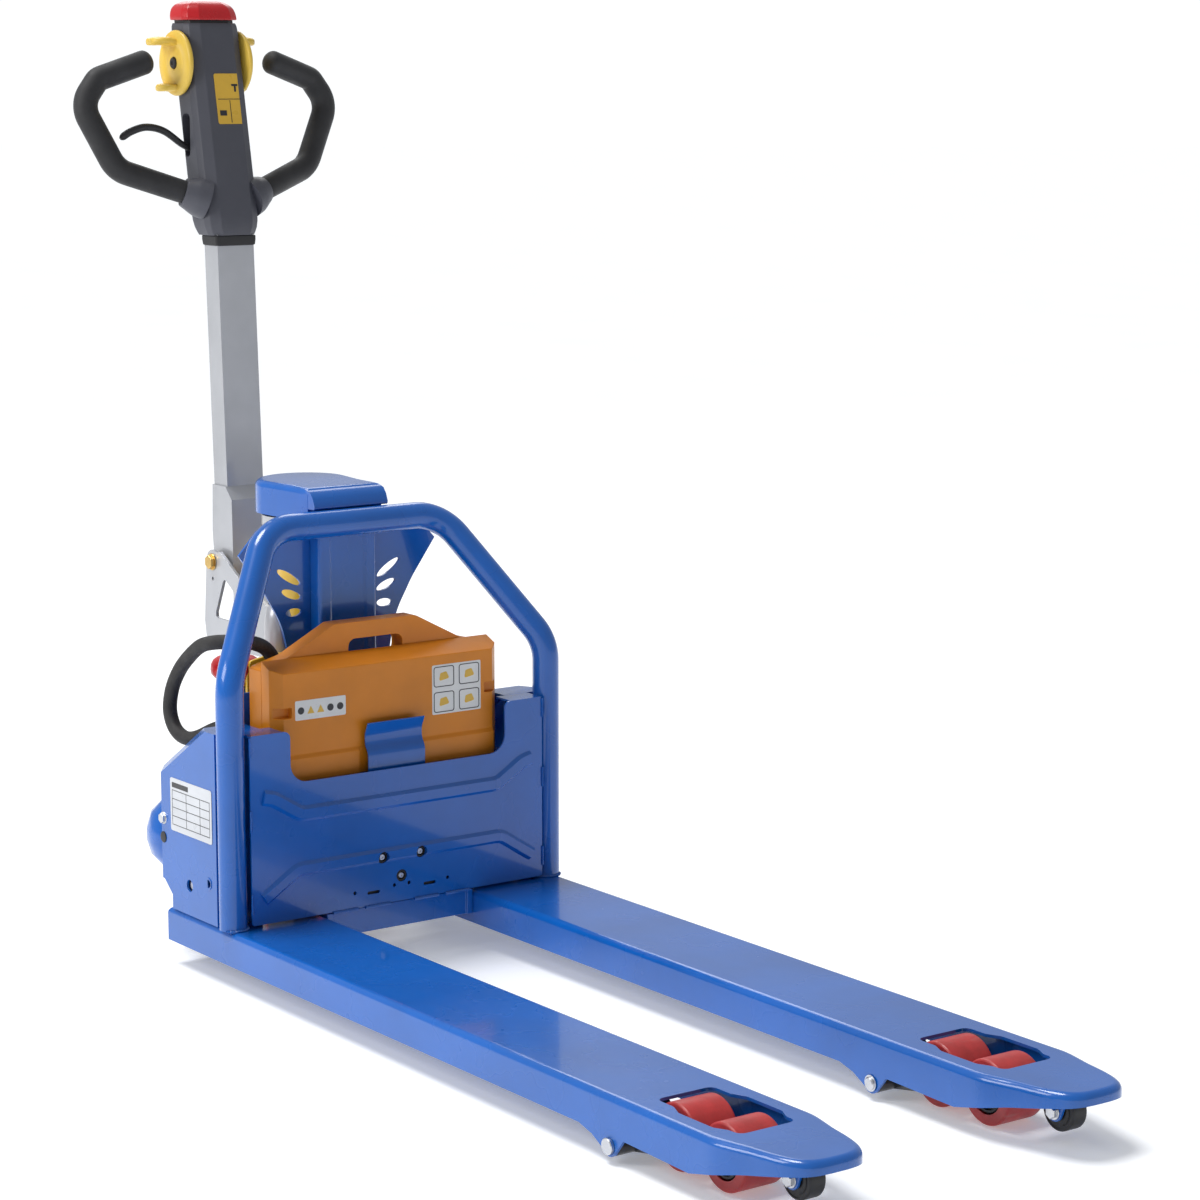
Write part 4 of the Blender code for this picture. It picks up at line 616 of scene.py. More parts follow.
def make_finishes(colours):
    black = (0.014, 0.014, 0.016)
    FINISHES.update(
        blue_paint=gloss_paint("gloss_blue_paint", colours.paint),
        orange_shell=moulded("battery_moulding", colours.battery, 0.36),
        yellow_paint=gloss_paint("yellow_paint", (0.820, 0.500, 0.030), 0.32),
        yellow_plastic=moulded("paddle_moulding", colours.paddle, 0.34),
        red_plastic=moulded("stop_button_moulding", colours.stop, 0.28, 900, 0.10),
        red_polyurethane=cast_urethane("red_urethane", colours.tyre),
        black_plastic=moulded("black_moulding", black, 0.44),
        black_metal=gloss_paint("black_enamel", (0.020, 0.020, 0.023), 0.38),
        anthracite_plastic=moulded("head_moulding", colours.head, 0.46, 1100, 0.35),
        dark_steel=gloss_paint("phosphated_steel", (0.030, 0.032, 0.036), 0.48),
        zinc=metal("zinc_plate", (0.60, 0.61, 0.63), 0.28),
        silver_paint=gloss_paint("silver_paint", colours.silver, 0.34),
        chrome=metal("ground_chrome", (0.76, 0.77, 0.79), 0.10, (1, 1, 40), 0.04),
        yellow_zinc=metal("yellow_chromate", (0.68, 0.46, 0.16), 0.30),
        black_rubber=rubber("grip_rubber", black),
        braid=braided("braided_sleeve", (0.016, 0.015, 0.015)),
        label=printed_label("yellow_label", (0.72, 0.44, 0.05), (0.45, 0.25, 0.03)),
        plate=printed_label("aluminium_data_plate", (0.62, 0.64, 0.68), (0.50, 0.52, 0.58)),
        ink=printed_label("black_print", (0.020, 0.020, 0.025), (0.03, 0.03, 0.03)),
        white_label=printed_label("pale_label", (0.74, 0.74, 0.72), (0.62, 0.62, 0.60)),
        copper=moulded("red_lead", (0.40, 0.02, 0.02), 0.4),
    )
    FINISHES["silver_paint"].node_tree.nodes["Principled BSDF"].inputs["Metallic"].default_value = 0.35


def adopt(piece, body, finish, *replaced, slot=None):
    """Moves a finished piece to the frame, gives it its material and hangs it on its body."""
    piece.data.materials.clear()
    piece.data.materials.append(FINISHES[finish])
    piece.location.x += HEEL
    bpy.context.view_layer.update()
    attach(piece, body)
    if replaced:
        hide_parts(*replaced)
    return piece


def body_of(node):
    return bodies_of(frame["nodes"][node])[0]


def slot_of(node):
    return next(s["material_slot"] for s in frame["record"]["subparts"] if s["node"] == node)


def dressed(node, radius, segments=2):
    """A copy of a solid with its edges rounded and its own finish."""
    piece = frame["nodes"][node].copy()
    piece.data = piece.data.copy()
    piece.name = node + "_surface"
    for key in list(piece.keys()):
        del piece[key]
    piece.parent = None
    bpy.context.scene.collection.objects.link(piece)
    piece.data.transform(Matrix.Translation((-HEEL, 0, 0)))
    soften(piece, radius, segments)
    return adopt(piece, body_of(node), slot_of(node), node)


# ---------------------------------------------------------------- forks and load wheels

FORK_HALF = 0.075
FORK_TOP = 0.080
FORK_NOSE = 1.170
FORK_REAR = -0.178
FORK_WALL = 0.004
FORK_Y = 0.195
PANEL_HALF = 0.2377
PANEL_TOP = 0.3450
ROLLER_Z = 0.040
LOAD_ROLLERS = {"rear": 0.921, "front": 1.007}
PIN_X, PIN_Z = 0.856, 0.021
TIP_X, TIP_Z = 1.109, 0.042


def fork_plan(inset, offset):
    """A fork's plan, drawn in by inset: straight sides, then a nose that tapers and rounds off."""
    nose = [
        (1.020, 0.0750),
        (1.044, 0.0745),
        (1.068, 0.0690),
        (1.091, 0.0630),
        (1.114, 0.0585),
        (1.132, 0.0540),
        (1.148, 0.0480),
        (1.1595, 0.0400),
        (1.1665, 0.0290),
        (1.1695, 0.0150),
        (FORK_NOSE, 0.0),
    ]
    curve = smooth_path([(x, y, 0) for x, y in nose], 3)
    scale = (FORK_HALF - inset) / FORK_HALF
    side = [(FORK_REAR + inset, FORK_HALF - inset)] + [(x - inset, y * scale) for x, y, _ in curve]
    ring = side + [(x, -y) for x, y in reversed(side[:-1])]
    return [(x, y + offset) for x, y in ring]


def window_plan(offset):
    """The roller window: a slot that widens where the rollers stand."""
    back, front = 0.897, 1.048
    narrow, wide = 0.040, 0.049
    half = [(back, narrow), (0.930, narrow), (0.950, wide), (1.012, wide), (1.030, narrow), (front, narrow)]
    ring = half + [(x, -y) for x, y in reversed(half)]
    radii = [0.010, 0.016, 0.012, 0.012, 0.016, 0.010]
    return [(x, y + offset) for x, y in rounded(ring, radii + radii[::-1], 4)]


def fork_profile():
    """A fork's side: skirt, ear round the arm pin, and the rise to the nose."""
    return [
        (FORK_REAR - 0.01, 0.033),
        (PIN_X - 0.060, 0.033),
        (PIN_X - 0.034, 0.026),
        *arc(PIN_X, PIN_Z, 0.013, 215, 335, 12),
        (PIN_X + 0.026, 0.033),
        (1.002, 0.030),
        (TIP_X - 0.030, 0.048),
        (TIP_X + 0.032, 0.060),
        (FORK_NOSE + 0.01, 0.066),
        (FORK_NOSE + 0.01, FORK_TOP + 0.01),
        (FORK_REAR - 0.01, FORK_TOP + 0.01),
    ]


class PALLETJACK_OT_forks(bpy.types.Operator):
    """Presses both forks from plate: rounded top edges, roller window, ears round the arm pin, tip bracket"""

    bl_idname = "pallet_jack.forks"
    bl_label = "Forks"

    def execute(self, context):
        sizes = context.scene.pallet_jack_sizes
        for side, sign in SIDES.items():
            centre = sign * FORK_Y
            reach = FORK_HALF + 0.01
            edge = sizes.fork_edge
            levels = [(0.0, 0.0)]
            for i in range(8):
                turn = math.radians(90 * i / 7)
                levels.append((FORK_TOP - edge + edge * math.sin(turn), edge * (1 - math.cos(turn))))
            rings = [[(x, y, z) for x, y in fork_plan(inset, centre)] for z, inset in levels]
            shell = loft(f"fork_{side}_pressing", rings)
            window = extruded("window", window_plan(centre), "XY", 0.020, FORK_TOP + 0.01)
            profile = extruded("profile", fork_profile(), "XZ", centre - reach, centre + reach)
            combine(shell, "INTERSECT", profile)
            hollow = extruded("hollow", fork_plan(FORK_WALL, centre), "XY", -0.01, FORK_TOP - FORK_WALL)
            pin_hole = bar("pin_hole", 0.0084, -reach, reach, (PIN_X, centre, PIN_Z), "Y")
            inner = sign * (FORK_Y - FORK_HALF)
            shaft_hole = bar("shaft_hole", 0.0106, -0.01, 0.01, (-0.100, inner, 0.060), "Y", 32)
            cut(shell, hollow, window, pin_hole, shaft_hole)
            soften(shell, sizes.sheet_edge, 2, 38, merge=False)
            adopt(shell, "chassis", "blue_paint", f"fork_{side}")
            self.tip_bracket(side, centre)
            self.pin(side, sign, centre)
        return {"FINISHED"}

    def tip_bracket(self, side, centre):
        """The tapered cheeks that hold the tip roller, its bolt and nut."""
        outline = [
            (TIP_X - 0.032, FORK_TOP - FORK_WALL),
            (TIP_X - 0.013, TIP_Z - 0.004),
            *arc(TIP_X, TIP_Z, 0.012, 200, 340, 12),
            (TIP_X + 0.026, FORK_TOP - FORK_WALL),
        ]
        cheeks = [
            soften(extruded("cheek", outline, "XZ", centre + low, centre + low + 0.004), 0.0008)
            for low in (0.014, -0.018)
        ]
        adopt(gathered(f"tip_cheeks_{side}", cheeks), "chassis", "blue_paint")
        axle = bar("tip_axle", 0.0048, -0.0195, 0.0195, (TIP_X, centre, TIP_Z), "Y", 32)
        bolts = [
            hex_bolt("tip_bolt", (TIP_X, centre + way * 0.0182, TIP_Z), "Y", way, 0.0095, 0.0065) for way in (1, -1)
        ]
        adopt(gathered(f"tip_axle_{side}", [axle, *bolts]), "chassis", "zinc")

    def pin(self, side, sign, centre):
        """The arm pin, with a chamfered head and a retaining clip at its inner end."""
        reach = FORK_HALF + 0.005
        profile = [(0, -reach), (0.0065, -reach), (0.0080, -reach + 0.0015), (0.0080, reach - 0.0044)]
        profile += [(0.0100, reach - 0.0044), (0.0100, reach - 0.001), (0.0090, reach), (0, reach)]
        clip = [(0.0078, -0.0771), (0.0102, -0.0771), (0.0102, -0.0760), (0.0078, -0.0760)]
        parts = [
            lathe("pin", facing(profile, sign), (PIN_X, centre, PIN_Z), "Y", 40),
            lathe("clip", facing(clip, sign), (PIN_X, centre, PIN_Z), "Y", 40),
        ]
        adopt(gathered(f"arm_pin_{side}_turned", parts), "chassis", "zinc", f"arm_pin_{side}")


def wheel_profile(outer, bore, width, chamfer, groove=0.0):
    """A tyre's section: square bore, rounded shoulders and a flat tread."""
    half = width / 2
    shoulder = [
        (outer - chamfer + chamfer * math.sin(math.radians(a)), half - chamfer + chamfer * math.cos(math.radians(a)))
        for a in range(0, 91, 15)
    ]
    tread = [(outer, t * (half - chamfer)) for t in (0.6, 0.25, -0.25, -0.6)]
    top = [(bore, half), (bore + groove, half)] if groove else [(bore, half)]
    upper = top + shoulder
    return upper + tread + [(r, -a) for r, a in reversed(upper)]


class PALLETJACK_OT_load_wheels(bpy.types.Operator):
    """Turns the four load rollers, their hubs and bearings, and the two tip rollers, and dresses the linkage"""

    bl_idname = "pallet_jack.load_wheels"
    bl_label = "Load wheels"

    def execute(self, context):
        for side, sign in SIDES.items():
            centre = sign * FORK_Y
            for place, x in LOAD_ROLLERS.items():
                self.roller(f"{place}_{side}", x, centre)
                self.axle_ends(f"{place}_{side}", f"bogie_{side}", x, centre)
            tip = wheel_profile(0.0250, 0.0056, 0.024, 0.003, 0.006)
            roller = lathe(f"tip_roller_{side}_moulding", tip, (TIP_X, centre, TIP_Z), "Y", 64)
            face = [(0.0185, 0.0112), (0.0215, 0.0112), (0.0215, 0.013), (0.0185, 0.013)]
            for way in (1, -1):
                cut(roller, lathe("groove", facing(face, way), (TIP_X, centre, TIP_Z), "Y", 64))
            adopt(roller, f"tip_roller_{side}", "black_plastic", f"tip_roller_{side}")
            dressed(f"bogie_{side}", 0.0008)
            dressed(f"load_arm_{side}", 0.0008)
            dressed(f"push_rod_{side}", 0.0010)
        dressed("rocker_shaft", 0.0008)
        return {"FINISHED"}

    def roller(self, tag, x, centre):
        axis = (x, centre, ROLLER_Z)
        tyre = lathe(f"load_roller_{tag}_tyre", wheel_profile(0.040, 0.0262, 0.060, 0.0035), axis, "Y", 96)
        adopt(tyre, f"roller_{tag}", "red_polyurethane", f"load_roller_{tag}")
        half = 0.0285
        side = [
            (0.0250, half - 0.0015), (0.0238, half), (0.0212, half), (0.0206, half - 0.0035),
            (0.0180, half - 0.0035)
        ]
        hub = both_faces([(0.0106, 0.020), (0.0178, 0.020)] + side[::-1])
        adopt(
            lathe(f"roller_hub_{tag}_core", hub, axis, "Y", 96), f"roller_{tag}", "black_plastic",
            f"roller_hub_{tag}"
        )
        races = []
        for way in (1, -1):
            for inner, outer in ((0.0106, 0.0128), (0.0152, 0.0176)):
                face = [
                    (inner, 0.0205), (outer, 0.0205), (outer, 0.0262), (outer - 0.0004, 0.0266),
                    (inner + 0.0004, 0.0266), (inner, 0.0262)
                ]
                races.append(lathe("race", facing(face, way), axis, "Y", 64))
            seal = [(0.0130, 0.0210), (0.0150, 0.0210), (0.0150, 0.0255), (0.0130, 0.0255)]
            races.append(lathe("seal", facing(seal, way), axis, "Y", 64))
        adopt(gathered(f"bearing_{tag}", races), f"roller_{tag}", "zinc")

    def axle_ends(self, tag, body, x, centre):
        """Turned axle ends with a circlip, outside the bogie's cheeks."""
        parts = []
        for way in (1, -1):
            end = [
                (0, 0.0372), (0.0096, 0.0372), (0.0096, 0.0382), (0.0088, 0.0388), (0.0030, 0.0388),
                (0.0016, 0.0376), (0, 0.0376)
            ]
            parts.append(lathe("axle_end", facing(end, way), (x, centre, ROLLER_Z), "Y", 40))
            clip = [(0.0098, 0.0376), (0.0118, 0.0376), (0.0118, 0.0386), (0.0098, 0.0386)]
            parts.append(lathe("clip", facing(clip, way), (x, centre, ROLLER_Z), "Y", 40))
        adopt(gathered(f"axle_ends_{tag}", parts), body, "zinc")


# ---------------------------------------------------------------- chassis


HOOP_X, HOOP_Y = -0.018, 0.257
HOOP_PATH = [(HOOP_X, HOOP_Y, 0.0803), (HOOP_X, HOOP_Y, 0.420), (-0.115, 0.141, 0.602)]
HOOP_BENDS = [0.075, 0.070, 0.070, 0.075]
BEAD_REACH = 0.0192
BEAD_HEIGHT = 0.0812


def bolt_set(name, body, spots):
    """Hexagon bolts at (place, axis, way, size, height)."""
    adopt(gathered(name, [hex_bolt("bolt", *spot) for spot in spots]), body, "zinc")


class PALLETJACK_OT_guard_hoop(bpy.types.Operator):
    """Bends the guard hoop from one tube and welds its feet to the forks"""

    bl_idname = "pallet_jack.guard_hoop"
    bl_label = "Guard hoop"

    def execute(self, context):
        sizes = context.scene.pallet_jack_sizes
        corners = HOOP_PATH + [(x, -y, z) for x, y, z in reversed(HOOP_PATH)]
        path = bent_path(corners, HOOP_BENDS, 18)
        adopt(tube("guard_hoop_tube", path, sizes.hoop_tube, 56), "chassis", "blue_paint", "guard_hoop")
        beads = []
        for sign in SIDES.values():
            start = -120 if sign > 0 else -60
            foot = [(x, y, BEAD_HEIGHT) for x, y in arc(HOOP_X, sign * HOOP_Y, BEAD_REACH, start, start + 180, 15)]
            beads.append(weld_bead("foot_bead", foot, sizes.weld_bead))
            for low, high in ((0.100, 0.128), (0.215, 0.243), (0.316, 0.343)):
                line = [(0.0006, sign * (PANEL_HALF + 0.0002), low + (high - low) * t / 6) for t in range(7)]
                beads.append(weld_bead("side_bead", line, sizes.weld_bead * 0.8))
        adopt(gathered("hoop_welds", beads), "chassis", "blue_paint")
        return {"FINISHED"}


UPPER_RIB = [
    (-0.2185, 0.2590), (-0.203, 0.2555), (-0.160, 0.2290), (0.160, 0.2290), (0.203, 0.2555), (0.2185, 0.2590)
]
LOWER_RIB = [(-0.219, 0.119), (-0.166, 0.153), (0.166, 0.153), (0.219, 0.119)]
RIB_BEND = 0.03
LINKAGE_HOLES = ((-0.031, 0.150), (0.031, 0.150), (0.0, 0.120))


def pressed_rib(name, line, width):
    """A raised band with sloping flanks."""
    low, high, slope = -0.0008, 0.0045, 0.0045
    smooth = bent_path(line, [RIB_BEND] * (len(line) - 2), 6)
    outer = band(smooth, width)
    inner = band(smooth, width - 2 * slope)
    rings = [
        [(low, y, z) for y, z in outer],
        [(low + (high - low) * 0.15, y, z) for y, z in outer],
        [
            (high - (high - low) * 0.12, y + (v - y) * 0.85, z + (w - z) * 0.85)
            for (y, z), (v, w) in zip(outer, inner)
        ],
        [(high, y, z) for y, z in inner],
    ]
    return loft(name, rings, 50)


class PALLETJACK_OT_front_panel(bpy.types.Operator):
    """Presses the front panel with its battery bay, ribs and holes, and the beam and clip round it"""

    bl_idname = "pallet_jack.front_panel"
    bl_label = "Front panel"

    def execute(self, context):
        sizes = context.scene.pallet_jack_sizes
        half = [
            (PANEL_HALF, 0.0845),
            (PANEL_HALF, PANEL_TOP),
            (0.1750, PANEL_TOP),
            (0.1750, 0.2730),
        ]
        outline = rounded(mirrored(half), [0.004, 0.004, 0.010, 0.026, 0.026, 0.010, 0.004, 0.004], 8)
        holes = [circle(y, z, 0.0085, 40) for y, z in LINKAGE_HOLES]
        holes += [
            circle(y, z, 0.0026, 20)
            for y, z in ((-0.012, 0.1080), (0.012, 0.1080), (-0.076, 0.1060), (0.076, 0.1060))
        ]
        holes += [rounded(rectangle(y - 0.010, 0.1005, y + 0.010, 0.1050), 0.002, 4) for y in (-0.046, 0.046)]
        panel = extruded("front_panel_pressing", outline, "YZ", -0.003, 0.0, holes)
        for low, high in ((0.1855, PANEL_HALF), (-PANEL_HALF, -0.1855)):
            fuse(panel, slab("horn_top", (-0.0380, low, PANEL_TOP - 0.003), (-0.0015, high, PANEL_TOP)))
        soften(panel, sizes.sheet_edge, 2, 40)
        adopt(panel, "chassis", "blue_paint", "front_panel")
        ribs = [
            pressed_rib("upper_rib", UPPER_RIB, 0.022),
            pressed_rib("lower_rib", LOWER_RIB, 0.020),
        ]
        cut(ribs[1], *(bar("hole", 0.0086, -0.003, 0.007, (0, y, z), "X", 48) for y, z in LINKAGE_HOLES[:2]))
        adopt(gathered("panel_ribs", ribs), "chassis", "blue_paint")
        self.behind_the_holes()
        beam = dressed("cross_member", 0.0012)
        beam.name = "cross_member_channel"
        dressed("battery_tray", 0.0008)
        self.clip()
        heel = [
            weld_bead(
                "heel_bead", [(0.0008, y, 0.0835) for y in (start, start + 0.02, start + 0.04)],
                sizes.weld_bead
            )
            for start in (-0.112, -0.060, 0.020, 0.072)
        ]
        adopt(gathered("beam_welds", heel), "chassis", "blue_paint")
        return {"FINISHED"}

    def behind_the_holes(self):
        """A dark plate behind the panel's lower holes that paints the shade seen through them, and the screws seen in
        them.
        """
        # painted shade: this dark plate makes the holes read black, standing in for the shade inside them
        corners = [(-0.105, 0.0900), (0.105, 0.0900), (0.085, 0.1660), (-0.085, 0.1660)]
        plate = extruded("hole_shade_plate", rounded(corners, 0.006, 4), "YZ", -0.0085, -0.0055)
        adopt(soften(plate, 0.0006), "chassis", "dark_steel")
        screws, grommets = [], []
        for (y, z), size in zip(LINKAGE_HOLES, (0.0048, 0.0048, 0.0042)):
            head = [(0, -0.0056), (size, -0.0056), (size, -0.0018), (size * 0.8, -0.0008), (size * 0.45, -0.0008)]
            screws.append(lathe("screw", head + [(size * 0.40, -0.0024), (0, -0.0024)], (0, y, z), "X", 32))
            ring = [(0.0060, -0.0056), (0.0082, -0.0056), (0.0082, -0.0012), (0.0060, -0.0006)]
            grommets.append(lathe("grommet", ring, (0, y, z), "X", 40))
        adopt(gathered("panel_screws", screws), "chassis", "zinc")
        adopt(gathered("panel_grommets", grommets), "chassis", "black_rubber")

    def clip(self):
        """The sprung battery clip: a bowed strip with rolled side edges."""
        line = smooth_path(
            [
                (-0.0100, 0, 0.2684), (-0.0098, 0, 0.284), (-0.0104, 0, 0.296), (-0.0162, 0, 0.306),
                (-0.0178, 0, 0.314), (-0.0168, 0, 0.324), (-0.0098, 0, 0.3385)
            ],
            4
        )
        strip = extruded("battery_clip_spring", band([(x, z) for x, _, z in line], 0.0020), "XZ", -0.0463, 0.0463)
        soften(strip, 0.0006, 2)
        adopt(strip, "chassis", "blue_paint", "battery_clip")


class PALLETJACK_OT_side_boxes(bpy.types.Operator):
    """Dresses the side boxes over the casters, with the data plate, bolts and vent plugs"""

    bl_idname = "pallet_jack.side_boxes"
    bl_label = "Side boxes"

    def execute(self, context):
        for side, sign in SIDES.items():
            dressed(f"side_box_{side}", 0.0018, 3)
            face = sign * 0.270
            spots = [((-0.185, face - sign * 0.0005, 0.204), "Y", sign, 0.0085, 0.0052)]
            spots.append(((-0.114, face - sign * 0.0085, 0.122), "Y", sign, 0.0070, 0.0050))
            bolt_set(f"side_bolts_{side}", "chassis", spots)
            plug = [(0, 0.0), (0.0078, 0.0), (0.0078, 0.0010), (0.0070, 0.0016), (0, 0.0019)]
            marks = [lathe("plug", facing(plug, sign), (-0.185, face - sign * 0.0002, 0.177), "Y", 40)]
            adopt(gathered(f"side_plug_{side}", marks), "chassis", "black_plastic")
            self.data_plate(side, sign)
            self.half_moon(side, sign)
            self.caster(side)
        return {"FINISHED"}

    def data_plate(self, side, sign):
        """A blank data plate: a foil with a printed border, rules and empty fields."""
        face = sign * 0.2701
        low, high = sorted((face, face + sign * 0.0008))
        outline = rounded(rectangle(-0.162, 0.192, -0.048, 0.266), 0.004, 6)
        plate = extruded(f"data_plate_{side}", outline, "XZ", low, high)
        adopt(plate, "chassis", "plate", slot="silver_paint")
        low, high = sorted((face + sign * 0.0006, face + sign * 0.0010))
        marks = [rectangle(-0.157, z, -0.053, z + 0.0009) for z in (0.2005, 0.2125, 0.2245, 0.2365, 0.2485)]
        marks += [rectangle(x, 0.2005, x + 0.0008, 0.2494) for x in (-0.157, -0.118, -0.080, -0.0538)]
        marks.append(rectangle(-0.157, 0.253, -0.112, 0.260))
        rules = [extruded("rule", mark, "XZ", low, high) for mark in marks]
        adopt(gathered(f"data_plate_print_{side}", rules), "chassis", "ink", slot="black_plastic")

    def half_moon(self, side, sign):
        """The raised lip round the half-moon lifting slot near the box's front edge."""
        face = sign * 0.270
        outline = list(arc(-0.061, 0.136, 0.0085, -90, 90, 14)) + [(-0.0625, 0.1445), (-0.0625, 0.1275)]
        low, high = sorted((face - sign * 0.0005, face + sign * 0.0010))
        ring = extruded(f"slot_lip_{side}", outline, "XZ", low, high, [circle(-0.0600, 0.136, 0.0056, 24)])
        adopt(soften(ring, 0.0004), "chassis", "blue_paint")

    def caster(self, side):
        """A stabiliser caster's fork, tyre and core."""
        dressed(f"caster_yoke_{side}", 0.0008)
        low, high = where(f"caster_wheel_{side}")
        centre = (low + high) / 2
        tyre = wheel_profile((high.z - low.z) / 2, 0.0225, 0.025, 0.005)
        adopt(
            lathe(f"caster_tyre_{side}", tyre, centre, "Y", 80), f"caster_wheel_{side}", "black_rubber",
            f"caster_wheel_{side}"
        )
        upper = [(0.0046, 0.0118), (0.0085, 0.0118), (0.0095, 0.0085), (0.0200, 0.0085), (0.0224, 0.0105)]
        adopt(lathe(f"caster_core_{side}", both_faces(upper), centre, "Y", 64), f"caster_wheel_{side}", "zinc")


def leaf(start, end, half, sign, steps=28):
    """A leaf-shaped slot between two points."""
    start, end = Vector(start), Vector(end)
    middle, along = (start + end) / 2, end - start
    length, angle = along.length / 2, math.atan2(along.y, along.x)
    made = []
    for i in range(steps):
        a = 2 * math.pi * i / steps
        u, v = length * math.cos(a), half * math.sin(a)
        u, v = u * math.cos(angle) - v * math.sin(angle), u * math.sin(angle) + v * math.cos(angle)
        made.append((sign * (middle.x + u), middle.y + v))
    return made


TRAY_FLOOR = 0.2683
WEB_SLOTS = (((0.063, 0.514), (0.100, 0.537)), ((0.062, 0.495), (0.093, 0.507)), ((0.062, 0.476), (0.087, 0.475)))
CAP_HALF = 0.063
STEER_X = -0.250
PIVOT_X, PIVOT_Z = -0.435, 0.510


class PALLETJACK_OT_tower(bpy.types.Operator):
    """Builds the lift tower: slotted web, folded column, crowned cap, ram collar, power pack and ram"""

    bl_idname = "pallet_jack.tower"
    bl_label = "Lift tower"

    def execute(self, context):
        sizes = context.scene.pallet_jack_sizes
        wing = where("tower_web")[1].y
        edge = [(0.080, 0.360), (0.083, 0.410), (0.0945, 0.458), (0.1125, 0.4925), (0.127, 0.516), (wing, 0.562)]
        concave = [(y, z) for _, y, z in smooth_path([(0, *p) for p in edge], 6)]
        half = concave + [(0.131, 0.594), (0.106, 0.598)]
        slots = [leaf(start, end, 0.0058, sign) for sign in SIDES.values() for start, end in WEB_SLOTS]
        web = extruded("tower_web_plate", mirrored(half), "YZ", -0.160, -0.156, slots)
        fuse(web, slab("flange", (-0.160, -0.106, 0.598), (-0.135, 0.106, 0.602)))
        adopt(soften(web, sizes.sheet_edge, 2, 40), "chassis", "blue_paint", "tower_web")
        self.column()
        self.cap()
        for node, radius in (("ram_collar", 0.0008), ("power_pack", 0.002)):
            dressed(node, radius)
        ram = [(0, 0.330), (0.0175, 0.330), (0.018, 0.331), (0.018, 0.639), (0.0175, 0.640), (0, 0.640)]
        adopt(lathe("lift_ram_rod", ram, (STEER_X, 0, 0), "Z", 64), "chassis", "chrome", "lift_ram")
        return {"FINISHED"}

    def column(self):
        """A folded column: rounded corners and shallow flutes down its face."""
        section = [
            (-0.1557, -0.047), (-0.131, -0.047), (-0.131, -0.030), (-0.1335, -0.026), (-0.1335, 0.026),
            (-0.131, 0.030), (-0.131, 0.047), (-0.1557, 0.047)
        ]
        outline = rounded(section, [0, 0.006, 0.002, 0.002, 0.002, 0.002, 0.006, 0], 4)
        column = extruded("tower_column_fold", outline, "XY", TRAY_FLOOR, 0.590)
        adopt(soften(column, 0.0006, 1, 60), "chassis", "blue_paint", "tower_column")

    def cap(self):
        """The pressed cap: a lip over the hoop's bar, a crowned top and a round end over the ram."""
        side = [(-0.138, 0.060), (-0.190, CAP_HALF), (STEER_X, CAP_HALF + 0.005)]
        side += arc(STEER_X, 0, CAP_HALF + 0.005, 100, 180, 14)
        plan = side + [(x, -y) for x, y in reversed(side[:-1])]
        rings = []
        levels = [(0.603, 0), (0.6405, 0), (0.6440, 0.0008), (0.6470, 0.0030), (0.6490, 0.0062), (0.6500, 0.0105)]
        middle = Vector((-0.200, 0))
        for z, inset in levels:
            ring = []
            for x, y in plan:
                away = Vector((x, y)) - middle
                away -= away.normalized() * inset
                ring.append((middle.x + away.x, middle.y + away.y, z))
            rings.append(ring)
        cap = loft("tower_cap_pressing", rings, 50)
        lip_line = [
            (-0.145, 0.6215), (-0.1225, 0.6215), (-0.1203, 0.6235), (-0.1203, 0.6265), (-0.1245, 0.6365),
            (-0.1310, 0.6440), (-0.145, 0.6485)
        ]
        fuse(cap, extruded("lip", lip_line, "XZ", -0.0597, 0.0597))
        hollow = extruded(
            "hollow",
            [
                (-0.142, -0.054), (-0.142, 0.054), (-0.190, 0.0575), (STEER_X, 0.060), (STEER_X, -0.060),
                (-0.190, -0.0575)
            ],
            "XY", 0.590, 0.6445
        )
        bore = bar("bore", 0.0600, 0.590, 0.6445, (STEER_X, 0, 0), "Z", 64)
        cut(cap, hollow, bore)
        adopt(soften(cap, 0.0012, 2, 40), "chassis", "blue_paint", "tower_cap")
        nuts = []
        for a in (70, 130, 190, 230, 290):
            turn = math.radians(a)
            place = (STEER_X + 0.049 * math.cos(turn), 0.049 * math.sin(turn), 0.5848)
            nuts.append((place, "Z", -1, 0.0080, 0.0065))
        bolt_set("collar_bolts", "chassis", nuts)


# ---------------------------------------------------------------- battery


STICKER_BACK = -0.0252
PRINT_DEPTH = (-0.0248, -0.0243)


